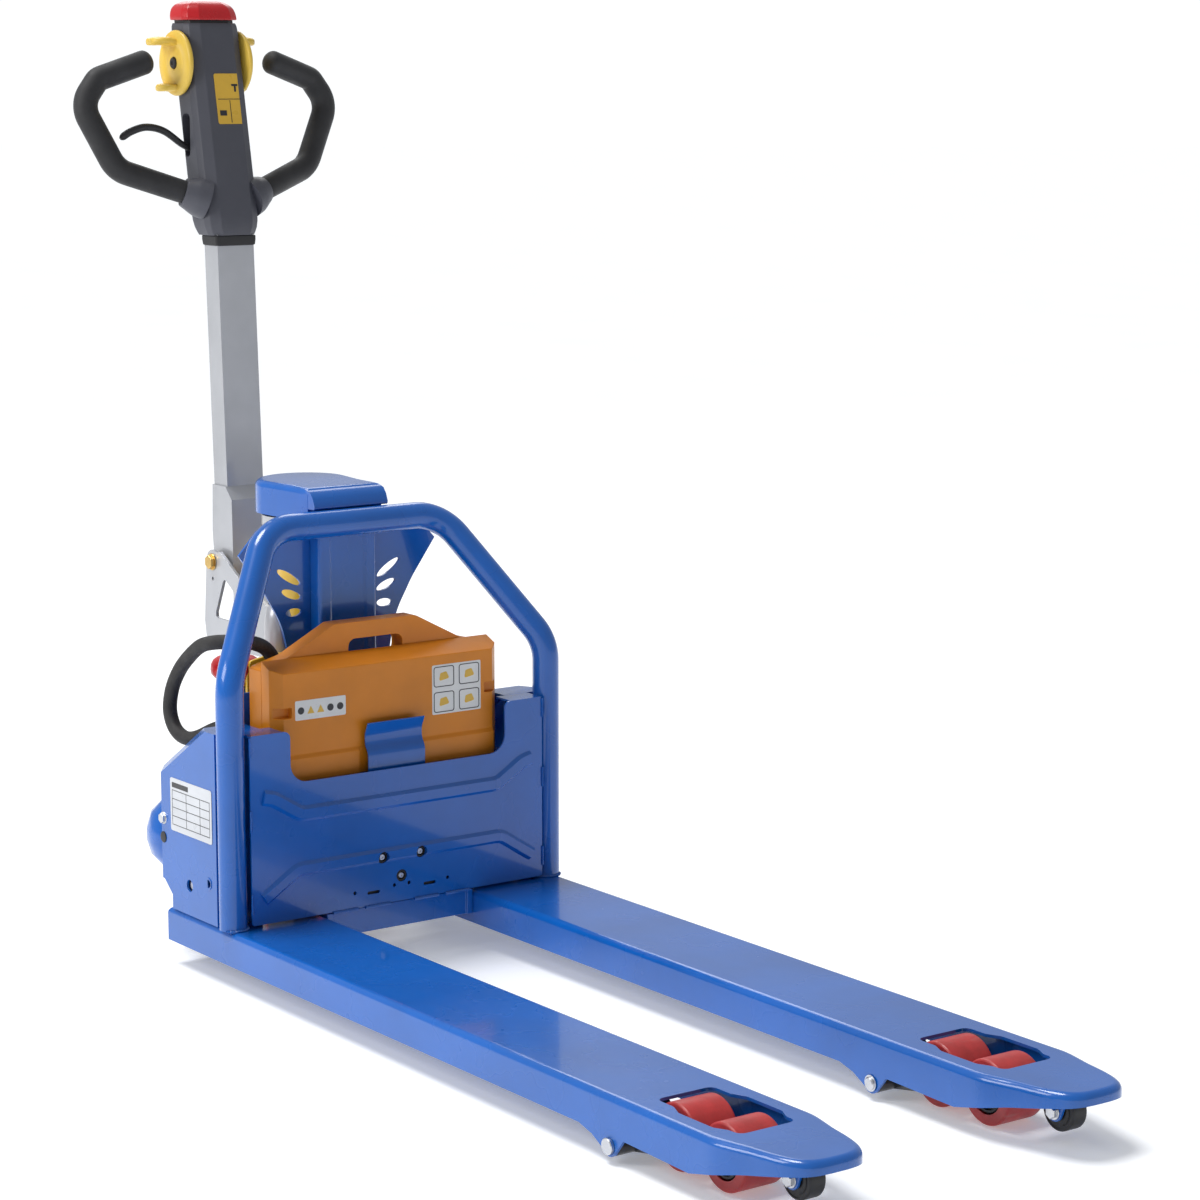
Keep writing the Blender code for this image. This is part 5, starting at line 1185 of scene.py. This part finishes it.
class PALLETJACK_OT_battery(bpy.types.Operator):
    """Moulds the lift-out battery: front shell with notches and stickers, rear shell with its grip"""

    bl_idname = "pallet_jack.battery"
    bl_label = "Battery"

    def execute(self, context):
        edge = context.scene.pallet_jack_sizes.moulded_edge
        self.front_shell(edge)
        self.rear_shell(edge)
        self.fittings()
        return {"FINISHED"}

    def front_shell(self, edge):
        side = [(-0.025, 0.170), (-0.025 - 0.014, 0.184), (-0.05985, 0.184)]
        shell = extruded("front_shell", both_faces(side), "XY", TRAY_FLOOR, 0.433)
        slope = [(-0.015, 0.4135), (-0.0605, 0.4325), (-0.0605, 0.5), (-0.015, 0.5)]
        cut(shell, extruded("slope", slope, "XZ", -0.25, 0.25))
        for sign in SIDES.values():
            low, high = sorted((sign * 0.157, sign * 0.190))
            notch = slab("notch", (-0.036, low, 0.3565), (-0.010, high, 0.3705))
            cut(shell, notch)
        foot = [(-0.027, TRAY_FLOOR), (-0.0212, TRAY_FLOOR), (-0.0212, 0.300), (-0.027, 0.307)]
        fuse(shell, extruded("foot", foot, "XZ", -0.170, 0.170))
        clip_room = slab("clip_room", (-0.0232, -0.052, 0.26), (-0.010, 0.052, 0.345))
        cut(shell, clip_room)
        soften(shell, edge, 3, 24)
        adopt(shell, "battery", "orange_shell", "battery_front_shell")

    def rear_shell(self, edge):
        plan = [(-0.06015, 0.184), (-0.092, 0.184), (-0.092, -0.184), (-0.06015, -0.184)]
        shell = extruded("rear_shell", plan, "XY", TRAY_FLOOR, 0.4185)
        gable = mirrored([(0.184, 0.400), (0.184, 0.4215), (0.139, 0.433), (0.066, 0.471)])
        radii = [0, 0.006, 0.030, 0.014, 0.014, 0.030, 0.006, 0]
        opening = rounded(rectangle(-0.044, 0.420, 0.044, 0.448), 0.011, 6)
        grip = extruded("grip", rounded(gable, radii, 6), "YZ", -0.0898, -0.06115, [opening])
        fuse(shell, grip)
        soften(shell, edge * 0.8, 3, 30)
        adopt(shell, "battery", "orange_shell", "battery_rear_shell")

    def fittings(self):
        """Two blank stickers, with frames, spots and marks in place of print."""
        stickers = {"small": (-0.152, 0.352, -0.072, 0.379), "large": (0.069, 0.334, 0.150, 0.404)}
        for name, corners in stickers.items():
            outline = rounded(rectangle(*corners), 0.002, 4)
            sticker = extruded(f"battery_sticker_{name}", outline, "YZ", STICKER_BACK, STICKER_BACK + 0.0006)
            adopt(sticker, "battery", "white_label", slot="silver_paint")
        frames, spots = [], []
        for y in (0.0885, 0.1305):
            for z in (0.3510, 0.3870):
                outer = rounded(rectangle(y - 0.0170, z - 0.0145, y + 0.0170, z + 0.0145), 0.004, 4)
                inner = rounded(rectangle(y - 0.0158, z - 0.0133, y + 0.0158, z + 0.0133), 0.003, 4)
                frames.append(extruded("frame", outer, "YZ", *PRINT_DEPTH, [inner]))
                corners = [
                    (y - 0.008, z - 0.006), (y + 0.009, z - 0.003), (y + 0.004, z + 0.007),
                    (y - 0.006, z + 0.005)
                ]
                spots.append(extruded("spot", rounded(corners, 0.002, 3), "YZ", *PRINT_DEPTH))
        for i in range(5):
            y = -0.1430 + 0.0155 * i
            if i in (1, 2):
                outline = [(y - 0.0055, 0.3600), (y + 0.0055, 0.3600), (y, 0.3705)]
                spots.append(extruded("mark", outline, "YZ", *PRINT_DEPTH))
            else:
                frames.append(extruded("mark", circle(y, 0.3650, 0.0050, 20), "YZ", *PRINT_DEPTH))
        adopt(gathered("sticker_frames", frames), "battery", "ink", slot="black_plastic")
        adopt(gathered("sticker_marks", spots), "battery", "label", slot="yellow_plastic")


# ---------------------------------------------------------------- behind the battery

STOP_PLACE = (-0.165, -0.163, 0)


class PALLETJACK_OT_drive_bay(bpy.types.Operator):
    """Fits the pump, its yellow cover, connector and stop button behind the battery"""

    bl_idname = "pallet_jack.drive_bay"
    bl_label = "Drive bay"

    def execute(self, context):
        self.cover()
        self.pump()
        self.connector()
        self.stop()
        return {"FINISHED"}

    def cover(self):
        """The yellow cover over the controller, with a notch at its upper corner."""
        outline = [
            (-0.1655, 0.276), (-0.064, 0.276), (-0.064, 0.4262), (-0.125, 0.4262), (-0.160, 0.4195),
            (-0.1655, 0.400)
        ]
        cover = extruded("controller_cover", rounded(outline, 0.006, 4), "YZ", -0.1360, -0.1300)
        adopt(soften(cover, 0.0015, 2), "chassis", "yellow_paint")

    def pump(self):
        """The grey pump motor beside the tower and the black hoses to it."""
        profile = [
            (0, 0.2700), (0.0170, 0.2700), (0.0200, 0.274), (0.0200, 0.448), (0.0188, 0.466),
            (0.0150, 0.4795), (0.0080, 0.4870), (0, 0.4890)
        ]
        body = lathe("pump_motor", profile, (-0.1860, -0.082, 0), "Z", 56)
        adopt(body, "chassis", "silver_paint")
        hose = smooth_path(
            [
                (-0.172, -0.052, 0.270), (-0.169, -0.051, 0.330), (-0.168, -0.053, 0.380),
                (-0.170, -0.060, 0.425), (-0.173, -0.070, 0.448)
            ],
            8
        )
        adopt(tube("pump_hose", hose, 0.0055, 20), "chassis", "black_rubber")

    def connector(self):
        """A three-way connector in the cover's notch."""
        parts = slab("connector_body", (-0.1290, -0.1560, 0.336), (-0.1160, -0.1420, 0.364))
        adopt(soften(parts, 0.0015, 2), "chassis", "black_plastic")
        lead = smooth_path(
            [
                (-0.1215, -0.1500, 0.360), (-0.1205, -0.1505, 0.374), (-0.1190, -0.1520, 0.384),
                (-0.1170, -0.1545, 0.386), (-0.1140, -0.1570, 0.380), (-0.1120, -0.1600, 0.362)
            ],
            6
        )
        adopt(tube("signal_lead", lead, 0.0022, 12), "chassis", "copper", slot="red_plastic")

    def stop(self):
        """The mushroom stop button on its collar."""
        head = [
            (0, 0.391), (0.0235, 0.391), (0.0300, 0.3935), (0.0340, 0.3985), (0.0350, 0.4045),
            (0.0342, 0.4115), (0.0312, 0.4172), (0.0262, 0.4208), (0.0180, 0.4228), (0.0165, 0.4222),
            (0.0150, 0.4228), (0.008, 0.4238), (0, 0.4240)
        ]
        adopt(
            lathe("emergency_stop_mushroom", head, STOP_PLACE, "Z", 72), "emergency_stop", "red_plastic",
            "emergency_stop"
        )
        collar = [
            (0.0066, 0.3842), (0.0250, 0.3842), (0.0262, 0.3846), (0.0262, 0.3852), (0.0252, 0.3857),
            (0.0066, 0.3857)
        ]
        adopt(lathe("stop_collar", collar, STOP_PLACE, "Z", 56), "chassis", "yellow_plastic")


class PALLETJACK_OT_drive_unit(bpy.types.Operator):
    """Dresses the drive wheel, its yoke and motor, the lift cylinder and the tiller's bracket"""

    bl_idname = "pallet_jack.drive_unit"
    bl_label = "Drive unit"

    def execute(self, context):
        dressed("drive_yoke", 0.0015)
        axis = (STEER_X, 0, 0.105)
        adopt(
            lathe("drive_tyre_tread", wheel_profile(0.105, 0.0875, 0.070, 0.008), axis, "Y", 128),
            "drive_wheel", "red_polyurethane", "drive_tyre"
        )
        upper = [(0.0127, 0.030), (0.026, 0.030), (0.029, 0.022), (0.066, 0.018), (0.074, 0.028), (0.0862, 0.030)]
        hub = lathe("drive_hub_casting", both_faces(upper), axis, "Y", 96)
        adopt(hub, "drive_wheel", "dark_steel", "drive_hub")
        studs = []
        for i in range(5):
            a = 2 * math.pi * i / 5
            for way in (1, -1):
                studs.append(
                    (
                        (STEER_X + 0.045 * math.cos(a), way * 0.0195, 0.105 + 0.045 * math.sin(a)), "Y", way,
                        0.0065, 0.005
                    )
                )
        bolt_set("wheel_studs", "drive_wheel", studs)
        self.motor()
        self.cylinder()
        dressed("tiller_bracket", 0.0010)
        self.pivot()
        return {"FINISHED"}

    def motor(self):
        low, high = where("drive_motor")
        reach = high.y - low.y
        radius = (high.z - low.z) / 2
        centre = ((low.x + high.x) / 2, low.y, (low.z + high.z) / 2)
        profile = [(0, 0), (radius - 0.003, 0), (radius, 0.003)]
        for i in range(6):
            start = 0.010 + i * 0.0065
            profile += [
                (radius, start), (radius - 0.0025, start + 0.0008), (radius - 0.0025, start + 0.0035),
                (radius, start + 0.0043)
            ]
        profile += [
            (radius, reach - 0.010), (radius - 0.004, reach - 0.004), (radius - 0.012, reach), (0.014, reach),
            (0.013, reach - 0.003), (0, reach - 0.003)
        ]
        adopt(lathe("drive_motor_case", profile, centre, "Y", 96), "steering_unit", "black_metal", "drive_motor")

    def cylinder(self):
        profile = [
            (0, 0.245), (0.037, 0.245), (0.039, 0.247), (0.039, 0.548), (0.0365, 0.5495), (0.0365, 0.5525),
            (0.039, 0.554)
        ]
        profile += [
            (0.039, 0.565), (0.0375, 0.5695), (0.034, 0.572), (0.0205, 0.572), (0.0186, 0.570),
            (0.0186, 0.300), (0, 0.300)
        ]
        adopt(
            lathe("lift_cylinder_barrel", profile, (STEER_X, 0, 0), "Z", 96), "lift_unit", "yellow_paint",
            "lift_cylinder"
        )

    def pivot(self):
        x, z = PIVOT_X, PIVOT_Z
        shaft = [bar("shaft", 0.0079, -0.0463, 0.0463, (x, 0, z), "Y")]
        shaft += [hex_bolt("end", (x, way * 0.0464, z), "Y", way, 0.0122, 0.0075) for way in (1, -1)]
        adopt(gathered("tiller_pivot_set", shaft), "steering_unit", "yellow_zinc", "tiller_pivot_bolt")


# ---------------------------------------------------------------- tiller


HEAD_FOOT = 0.985
HEAD_CROWN = 1.288
HEAD_TILT = math.tan(math.radians(10.5))
ARM_TILT = math.tan(math.radians(2.6))
GRIP_KNEE = (-0.492, 0.158, 1.080)
LEVER_LINE = [
    (-0.4905, -0.026, 1.104),
    (-0.4905, -0.050, 1.114),
    (-0.4915, -0.080, 1.134),
    (-0.4925, -0.108, 1.140),
    (-0.4935, -0.132, 1.134),
    (-0.4945, -0.149, 1.124),
]
PADDLE_X, PADDLE_Z = -0.507, 1.231


def arm_front(z):
    """The front face of the tiller arm at a height."""
    return -0.4145 - (z - 0.620) * ARM_TILT


def head_front(z):
    return -0.4205 - (z - HEAD_FOOT) * HEAD_TILT


def head_ring(z, grow=0.0, draw=0.0):
    """The head's rounded section at a height: flat front facet, chamfers and a soft back."""
    front = head_front(z) + grow
    back = front - 0.076 - 2 * grow
    half = 0.044 + grow
    corners = [
        (front, 0.026), (front - 0.009, half - 0.004), (front - 0.020, half), (back + 0.020, half),
        (back, half - 0.022)
    ]
    ring = corners + [(x, -y) for x, y in reversed(corners)]
    radii = [0.004, 0.004, 0.006, 0.014, 0.012]
    middle = (front + back) / 2
    return [(middle + (x - middle) * (1 - draw), y * (1 - draw), z) for x, y in rounded(ring, radii + radii[::-1], 5)]


class PALLETJACK_OT_tiller(bpy.types.Operator):
    """Builds the tiller arm, its head, belly button, paddles, grips and lever"""

    bl_idname = "pallet_jack.tiller"
    bl_label = "Tiller"

    def execute(self, context):
        sizes = context.scene.pallet_jack_sizes
        dressed("tiller_arm", 0.0016, 3)
        self.spring()
        self.head()
        self.belly_button()
        for side, sign in SIDES.items():
            self.paddle(side, sign)
            self.grip(side, sign, sizes.grip_tube)
        self.lever()
        return {"FINISHED"}

    def spring(self):
        coil, reach, turns, per_turn = 0.013, 0.020, 4, 28
        helix = []
        for i in range(turns * per_turn + 1):
            a = 2 * math.pi * i / per_turn
            y = -reach + 2 * reach * i / (turns * per_turn)
            helix.append((PIVOT_X + coil * math.cos(a), y, PIVOT_Z + coil * math.sin(a)))
        adopt(tube("tiller_spring_coil", helix, 0.0019, 12), "tiller", "dark_steel", "tiller_spring")

    def head(self):
        """The head's moulding with its side slot, boss for each grip and socket for the arm."""
        rings = [
            head_ring(HEAD_FOOT, 0, 0.16), head_ring(HEAD_FOOT + 0.004, 0, 0.115),
            head_ring(HEAD_FOOT + 0.011, 0, 0.055), head_ring(HEAD_FOOT + 0.020, 0, 0.015)
        ]
        rings += [head_ring(HEAD_FOOT + 0.030), head_ring(1.100), head_ring(1.200), head_ring(HEAD_CROWN - 0.010)]
        rings += [
            head_ring(HEAD_CROWN - 0.005, 0, 0.010), head_ring(HEAD_CROWN - 0.0015, 0, 0.032),
            head_ring(HEAD_CROWN, 0, 0.055)
        ]
        body = loft("head_moulding", rings, 40)
        slot = [(-0.5015, 1.097), (-0.4795, 1.097), (-0.4795, 1.159), (-0.5015, 1.159)]
        cut(body, extruded("slot", rounded(slot, 0.008, 6), "XZ", -0.060, -0.020))
        for sign in SIDES.values():
            root, along = grip_root(sign)
            bell = [
                (0.0205, 0.0), (0.0215, -0.002), (0.0235, -0.008), (0.0262, -0.015), (0.0285, -0.022),
                (0.0300, -0.036)
            ]
            boss = lathe("boss", [(0, 0.0)] + bell + [(0, -0.036)], (0, 0, 0), "Z", 48)
            turn = Vector((0, 0, 1)).rotation_difference(along).to_matrix().to_4x4()
            boss.data.transform(Matrix.Translation(root) @ turn)
            fuse(body, boss)
        low, top = HEAD_FOOT - 0.01, 1.031
        foot, crown = (arm_front(z) + 0.0003 for z in (low, top))
        socket = [(foot, low), (crown, top), (crown - 0.0386, top), (foot - 0.0386, low)]
        cut(body, extruded("socket", socket, "XZ", -0.0303, 0.0303))
        soften(body, 0.0012, 2, 42)
        adopt(body, "tiller", "anthracite_plastic", "head_housing")
        self.label()
        self.collar()

    def label(self):
        """A plain yellow label on the front facet, with blank bars for its print."""
        rings = []
        for grow in (0.0001, 0.0007):
            corners = [(-0.013, 1.144), (0.031, 1.144), (0.031, 1.216), (-0.013, 1.216)]
            outline = rounded(corners, 0.003, 4)
            rings.append([(head_front(z) + grow, min(max(y, -0.0255), 0.0255), z) for y, z in outline])
        adopt(loft("head_label", rings), "tiller", "label", slot="yellow_plastic")
        bars = []
        for low_y, low_z, wide, tall in (
            (-0.010, 1.1790, 0.038, 0.0010),
            (0.0085, 1.1460, 0.0010, 0.0320),
            (-0.009, 1.1560, 0.011, 0.0075),
            (0.0140, 1.1980, 0.010, 0.0030),
            (0.0180, 1.1900, 0.003, 0.0080),
        ):
            rings = []
            for grow in (0.0004, 0.0010):
                outline = [(low_y, low_z), (low_y + wide, low_z), (low_y + wide, low_z + tall), (low_y, low_z + tall)]
                rings.append([(head_front(v) + grow, u, v) for u, v in outline])
            bars.append(loft("bar", rings))
        adopt(gathered("head_label_print", bars), "tiller", "ink", slot="black_plastic")

    def collar(self):
        """The neck collar where the head grips the arm."""
        rings = []
        for z, grow in ((0.9700, 0.0008), (0.9712, 0.0026), (0.9780, 0.0034), (0.9838, 0.0034), (0.9847, 0.0024)):
            front = arm_front(z) + grow
            back = front - 0.038 - 2 * grow
            half = 0.030 + grow
            ring = rounded([(front, half), (back, half), (back, -half), (front, -half)], 0.004, 5)
            rings.append([(x, y, z) for x, y in ring])
        collar = loft("neck_collar", rings)
        front = arm_front(0.9775)
        cut(collar, slab("room", (front - 0.0385, -0.0304, 0.96), (front + 0.0004, 0.0304, 0.99)))
        adopt(soften(collar, 0.0006, 2, 40), "tiller", "black_plastic")

    def belly_button(self):
        """The red safety button that crowns the head."""
        base = HEAD_CROWN + 0.0045
        levels = [
            (0, 0.020), (0.0015, 0.004), (0.006, 0.010), (0.0110, 0.030), (0.0155, 0.065), (0.0190, 0.120),
            (0.0222, 0.200), (0.0245, 0.300), (0.0262, 0.420), (0.0270, 0.560)
        ]
        rings = [head_ring(base + rise, 0.0006, draw) for rise, draw in levels]
        cap = loft("belly_button_cap", rings, 50)
        cut(cap, loft("room", [head_ring(base + rise, 0, 0.085) for rise in (-0.0010, 0.0052)]))
        adopt(cap, "belly_button", "red_plastic", "belly_button")
        rings = [head_ring(HEAD_CROWN - 0.0002 + rise, 0, 0.115) for rise in (0, 0.0044)]
        adopt(loft("belly_button_seal", rings, 50), "tiller", "black_plastic")

    def paddle(self, side, sign):
        """A drive paddle: a dished disc with a raised horn and a lower tab, both well rounded."""
        face = [
            (0.0092, 0.0456), (0.0450, 0.0456), (0.0464, 0.0464), (0.0470, 0.0480), (0.0470, 0.0500),
            (0.0460, 0.0518), (0.0440, 0.0530), (0.0300, 0.0535), (0.0280, 0.0526), (0.0200, 0.0526),
            (0.0185, 0.0534), (0.0092, 0.0534)
        ]
        disc = lathe(f"paddle_{side}_disc", facing(face, sign), (PADDLE_X, 0, PADDLE_Z), "Y", 72)
        horns = []
        root = 0.0495
        for lift, reach, tall in ((0.030, 0.0395, 0.013), (-0.036, 0.0245, 0.012)):
            rings = []
            for t in (0.0, 0.12, 0.35, 0.60, 0.82, 0.94, 1.0):
                y = root + (reach - 0.0045) * t
                shrink = 1 - 0.35 * t**3 if t < 0.9 else (0.62 if t < 0.97 else 0.40)
                middle_x = PADDLE_X - 0.011 - 0.004 * t
                z = PADDLE_Z + lift + (0.0015 * math.sin(math.pi * t))
                wide, high = 0.0225 * shrink, tall / 2 * (0.55 + 0.45 * shrink)
                ring = []
                for i in range(24):
                    a = 2 * math.pi * i / 24
                    c, s = math.cos(a), math.sin(a)
                    ring.append(
                        (
                            middle_x + wide * math.copysign(abs(c) ** 0.6, c), sign * y,
                            z + high * math.copysign(abs(s) ** 0.7, s)
                        )
                    )
                rings.append(ring)
            horns.append(loft("horn", rings, 60))
        fuse(disc, *horns)
        disc.data.shade_smooth()
        disc.data.set_sharp_from_angle(angle=math.radians(45))
        adopt(disc, f"paddle_{side}", "yellow_plastic", f"paddle_{side}")
        hub = [
            (0, 0.0440), (0.0084, 0.0440), (0.0084, 0.0545), (0.0070, 0.0560), (0.0030, 0.0560),
            (0.0022, 0.0548), (0, 0.0548)
        ]
        cap = lathe("hub", facing(hub, sign), (PADDLE_X, 0, PADDLE_Z), "Y", 40)
        adopt(gathered(f"paddle_hub_{side}", [cap]), "tiller", "black_plastic")

    def grip(self, side, sign, radius):
        """A loop grip: it leaves its boss, runs out and up, and comes back to a round free end by the paddle."""
        root, along = grip_root(sign)
        knee = (GRIP_KNEE[0], sign * GRIP_KNEE[1], GRIP_KNEE[2])
        corners = [
            root + along * 0.0003, knee, (-0.507, sign * 0.203, 1.172), (-0.508, sign * 0.176, 1.208),
            (-0.497, sign * 0.094, 1.236)
        ]
        path = bent_path(corners, [0.042, 0.036, 0.018], 12)
        end, before = Vector(path[-1]), Vector(corners[-2])
        back = (end - before).normalized()
        start = path[:-1]
        radii = [1.0] * len(start)
        radii[0] = 0.97
        tail = []
        for angle in range(0, 91, 15):
            a = math.radians(angle)
            tail.append((tuple(end - back * radius * 0.75 * (1 - math.sin(a))), max(math.cos(a), 0.12)))
        path = start + [p for p, _ in tail]
        radii += [r for _, r in tail]
        adopt(tube(f"grip_{side}_sleeve", path, radius, 40, radii), "tiller", "black_rubber", f"grip_loop_{side}")

    def lever(self):
        """The lift lever, thinned at its root and tip, and the button on the head's back."""
        path = smooth_path(LEVER_LINE, 8)
        count = len(path)
        radii = [0.75 + 0.25 * math.sin(math.pi * min(i / count * 1.5, 1) / 2) for i in range(count)]
        radii[-1], radii[-2], radii[-3] = 0.45, 0.80, 0.95
        adopt(tube("lift_lever_blade", path, 0.0055, 24, radii), "lift_lever", "black_plastic", "lift_lever")
        dressed("horn_button", 0.0012)


def grip_root(sign):
    """Where a grip meets the boss on the head's side, and the way it points there."""
    root, knee = (Vector((x, sign * y, z)) for x, y, z in ((-0.4635, 0.0655, 1.0475), GRIP_KNEE))
    return root, (knee - root).normalized()


# ---------------------------------------------------------------- battery lead

LEAD_ROUTE = [
    (-0.1140, -0.1280, 0.4003),
    (-0.1140, -0.1320, 0.4200),
    (-0.1120, -0.1480, 0.4400),
    (-0.1060, -0.1780, 0.4520),
    (-0.1000, -0.2080, 0.4560),
    (-0.1180, -0.2240, 0.4540),
    (-0.1450, -0.2280, 0.4460),
    (-0.1760, -0.2280, 0.4280),
    (-0.2060, -0.2280, 0.4040),
    (-0.2290, -0.2280, 0.3740),
    (-0.2370, -0.2280, 0.3420),
    (-0.2250, -0.2270, 0.3180),
    (-0.2020, -0.2240, 0.3080),
    (-0.1780, -0.2180, 0.3120),
    (-0.1500, -0.2080, 0.3260),
    (-0.1260, -0.1920, 0.3370),
    (-0.1140, -0.1860, 0.3400),
    (-0.1042, -0.1860, 0.3400),
]
LEAD_DIAMETER = 0.020


class PALLETJACK_OT_battery_lead(bpy.types.Operator):
    """Runs the sleeved battery lead from its plug out past the side box and back to the tray"""

    bl_idname = "pallet_jack.battery_lead"
    bl_label = "Battery lead"

    def execute(self, context):
        path = smooth_path(LEAD_ROUTE, 6)
        length = sum((Vector(b) - Vector(a)).length for a, b in zip(path, path[1:]))
        lead = adopt(
            tube("battery_lead", path, LEAD_DIAMETER / 2, 28), "chassis", "braid", "battery_cable",
            slot="black_rubber"
        )
        plug = soften(slab("lead_plug", (-0.1300, -0.1460, 0.3680), (-0.1033, -0.1080, 0.3985)), 0.003, 3)
        adopt(plug, "chassis", "black_plastic", "cable_plug")
        world = [(x + HEEL, y, z) for x, y, z in path]
        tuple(world[0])
        return {"FINISHED"}


# ---------------------------------------------------------------- camera and stage


CAMERA_PLACE = (3.3824, -2.346, 1.226)
CAMERA_TURN, CAMERA_DIP = math.radians(36.05), math.radians(9.36)
CAMERA_LENS = 97.1
AIM_HEIGHT = 0.45
FLOOR_HALF = 60.0
LAMPS = (
    ("key", (-0.8, -3.4, 2.4), 1.6, 60, (1.0, 0.99, 0.97)),
    ("rear", (-3.2, 1.6, 3.0), 2.0, 30, (1.0, 1.0, 1.0)),
)
SUN_POWER, SUN_SPREAD = 2.1, math.radians(24)
SUN_AIM = (0.30, 0.26, -1.0)
SKY_TINT = (0.96, 0.98, 1.0, 1)


class PALLETJACK_OT_camera(bpy.types.Operator):
    """Puts the camera to the right of the fork tips, above the tiller's height"""

    bl_idname = "pallet_jack.camera"
    bl_label = "Camera"

    def execute(self, context):
        data = bpy.data.cameras.new("view")
        data.lens = CAMERA_LENS
        data.sensor_width = 36.0
        data.clip_end = 50.0
        camera = bpy.data.objects.new("view", data)
        context.scene.collection.objects.link(camera)
        turn, dip = CAMERA_TURN, CAMERA_DIP
        look = Vector((-math.cos(turn) * math.cos(dip), math.sin(turn) * math.cos(dip), -math.sin(dip)))
        camera.location = CAMERA_PLACE
        camera.rotation_euler = look.to_track_quat("-Z", "Y").to_euler()
        context.scene.camera = camera
        return {"FINISHED"}


class PALLETJACK_OT_stage(bpy.types.Operator):
    """Sets the pale floor, the bright sky and the soft studio lights"""

    bl_idname = "pallet_jack.stage"
    bl_label = "Stage"

    def execute(self, context):
        bm = bmesh.new()
        turn = Matrix.Rotation(math.radians(-36), 4, "Z")
        corners = rectangle(FLOOR_HALF, -FLOOR_HALF, -FLOOR_HALF, FLOOR_HALF)
        bm.faces.new([bm.verts.new(turn @ Vector((x, y, 0))) for x, y in corners])
        floor = piece_from(bm, "studio_floor", 60)
        nodes = Nodes("studio_floor")
        tone = nodes.scaled(nodes.noise(3.0, 6.0), 0.0, 1.0, 0.35, 0.65)
        base = nodes.mixed(tone, (0.86, 0.87, 0.88), (0.90, 0.91, 0.92))
        floor_paint = nodes.set(base, 0.55, nodes.bump(nodes.noise(300), 0.02, 0.0005), Emission_Strength=0.28)
        nodes.shader.inputs["Emission Color"].default_value = SKY_TINT
        floor.data.materials.append(floor_paint)
        for name, place, size, power, tint in LAMPS:
            data = bpy.data.lights.new(name, "AREA")
            data.shape = "SQUARE"
            data.size = size
            data.energy = power
            data.color = tint
            lamp = bpy.data.objects.new(name, data)
            context.scene.collection.objects.link(lamp)
            lamp.location = place
            aim = Vector((0, 0, AIM_HEIGHT)) - Vector(place)
            lamp.rotation_euler = aim.to_track_quat("-Z", "Y").to_euler()
        data = bpy.data.lights.new("overhead", "SUN")
        data.energy = SUN_POWER
        data.angle = SUN_SPREAD
        overhead = bpy.data.objects.new("overhead", data)
        context.scene.collection.objects.link(overhead)
        overhead.rotation_euler = Vector(SUN_AIM).to_track_quat("-Z", "Y").to_euler()
        self.sky(context)
        context.scene.view_settings.view_transform = "Standard"
        return {"FINISHED"}

    def sky(self, context):
        """A bright backdrop that lights and mirrors in the object less than it shows."""
        world = bpy.data.worlds.new("studio")
        world.use_nodes = True
        background = world.node_tree.nodes["Background"]
        background.inputs["Color"].default_value = SKY_TINT
        tree = world.node_tree
        ray = tree.nodes.new("ShaderNodeLightPath")
        ambient, mirrored_light, seen = 0.26, 0.22, 0.80
        reflected = tree.nodes.new("ShaderNodeMath")
        reflected.operation = "MULTIPLY_ADD"
        reflected.inputs[1].default_value = mirrored_light
        reflected.inputs[2].default_value = ambient
        level = tree.nodes.new("ShaderNodeMath")
        level.operation = "MULTIPLY_ADD"
        level.inputs[1].default_value = seen
        tree.links.new(ray.outputs["Is Glossy Ray"], reflected.inputs[0])
        tree.links.new(ray.outputs["Is Camera Ray"], level.inputs[0])
        tree.links.new(reflected.outputs[0], level.inputs[2])
        tree.links.new(level.outputs[0], background.inputs["Strength"])
        context.scene.world = world


class PALLETJACK_OT_finishes(bpy.types.Operator):
    """Mixes the paints, plastics, rubbers and platings"""

    bl_idname = "pallet_jack.finishes"
    bl_label = "Finishes"

    def execute(self, context):
        make_finishes(context.scene.pallet_jack_finishes)
        return {"FINISHED"}


STEPS = (
    PALLETJACK_OT_camera,
    PALLETJACK_OT_finishes,
    PALLETJACK_OT_battery_lead,
    PALLETJACK_OT_forks,
    PALLETJACK_OT_load_wheels,
    PALLETJACK_OT_guard_hoop,
    PALLETJACK_OT_front_panel,
    PALLETJACK_OT_side_boxes,
    PALLETJACK_OT_tower,
    PALLETJACK_OT_battery,
    PALLETJACK_OT_drive_bay,
    PALLETJACK_OT_drive_unit,
    PALLETJACK_OT_tiller,
    PALLETJACK_OT_stage,
)


class PALLETJACK_PT_panel(bpy.types.Panel):
    """Lists the pieces of the pallet truck"""

    bl_idname = "PALLETJACK_PT_panel"
    bl_label = "Pallet Jack"
    bl_space_type = "VIEW_3D"
    bl_region_type = "UI"
    bl_category = "Pallet Jack"

    def draw(self, context):
        for settings in (context.scene.pallet_jack_sizes, context.scene.pallet_jack_finishes):
            box = self.layout.box()
            for name in settings.__annotations__:
                box.prop(settings, name)
        for step in STEPS:
            self.layout.operator(step.bl_idname)


CLASSES = (PalletJackFinishes, PalletJackSizes, *STEPS, PALLETJACK_PT_panel)


def register():
    for cls in CLASSES:
        bpy.utils.register_class(cls)
    bpy.types.Scene.pallet_jack_finishes = bpy.props.PointerProperty(type=PalletJackFinishes)
    bpy.types.Scene.pallet_jack_sizes = bpy.props.PointerProperty(type=PalletJackSizes)


def unregister():
    del bpy.types.Scene.pallet_jack_sizes
    del bpy.types.Scene.pallet_jack_finishes
    for cls in reversed(CLASSES):
        bpy.utils.unregister_class(cls)


def main():
    register()
    for step in STEPS:
        group, name = step.bl_idname.split(".")
        getattr(getattr(bpy.ops, group), name)()
    bpy.context.view_layer.update()


if __name__ == "__main__":
    main()
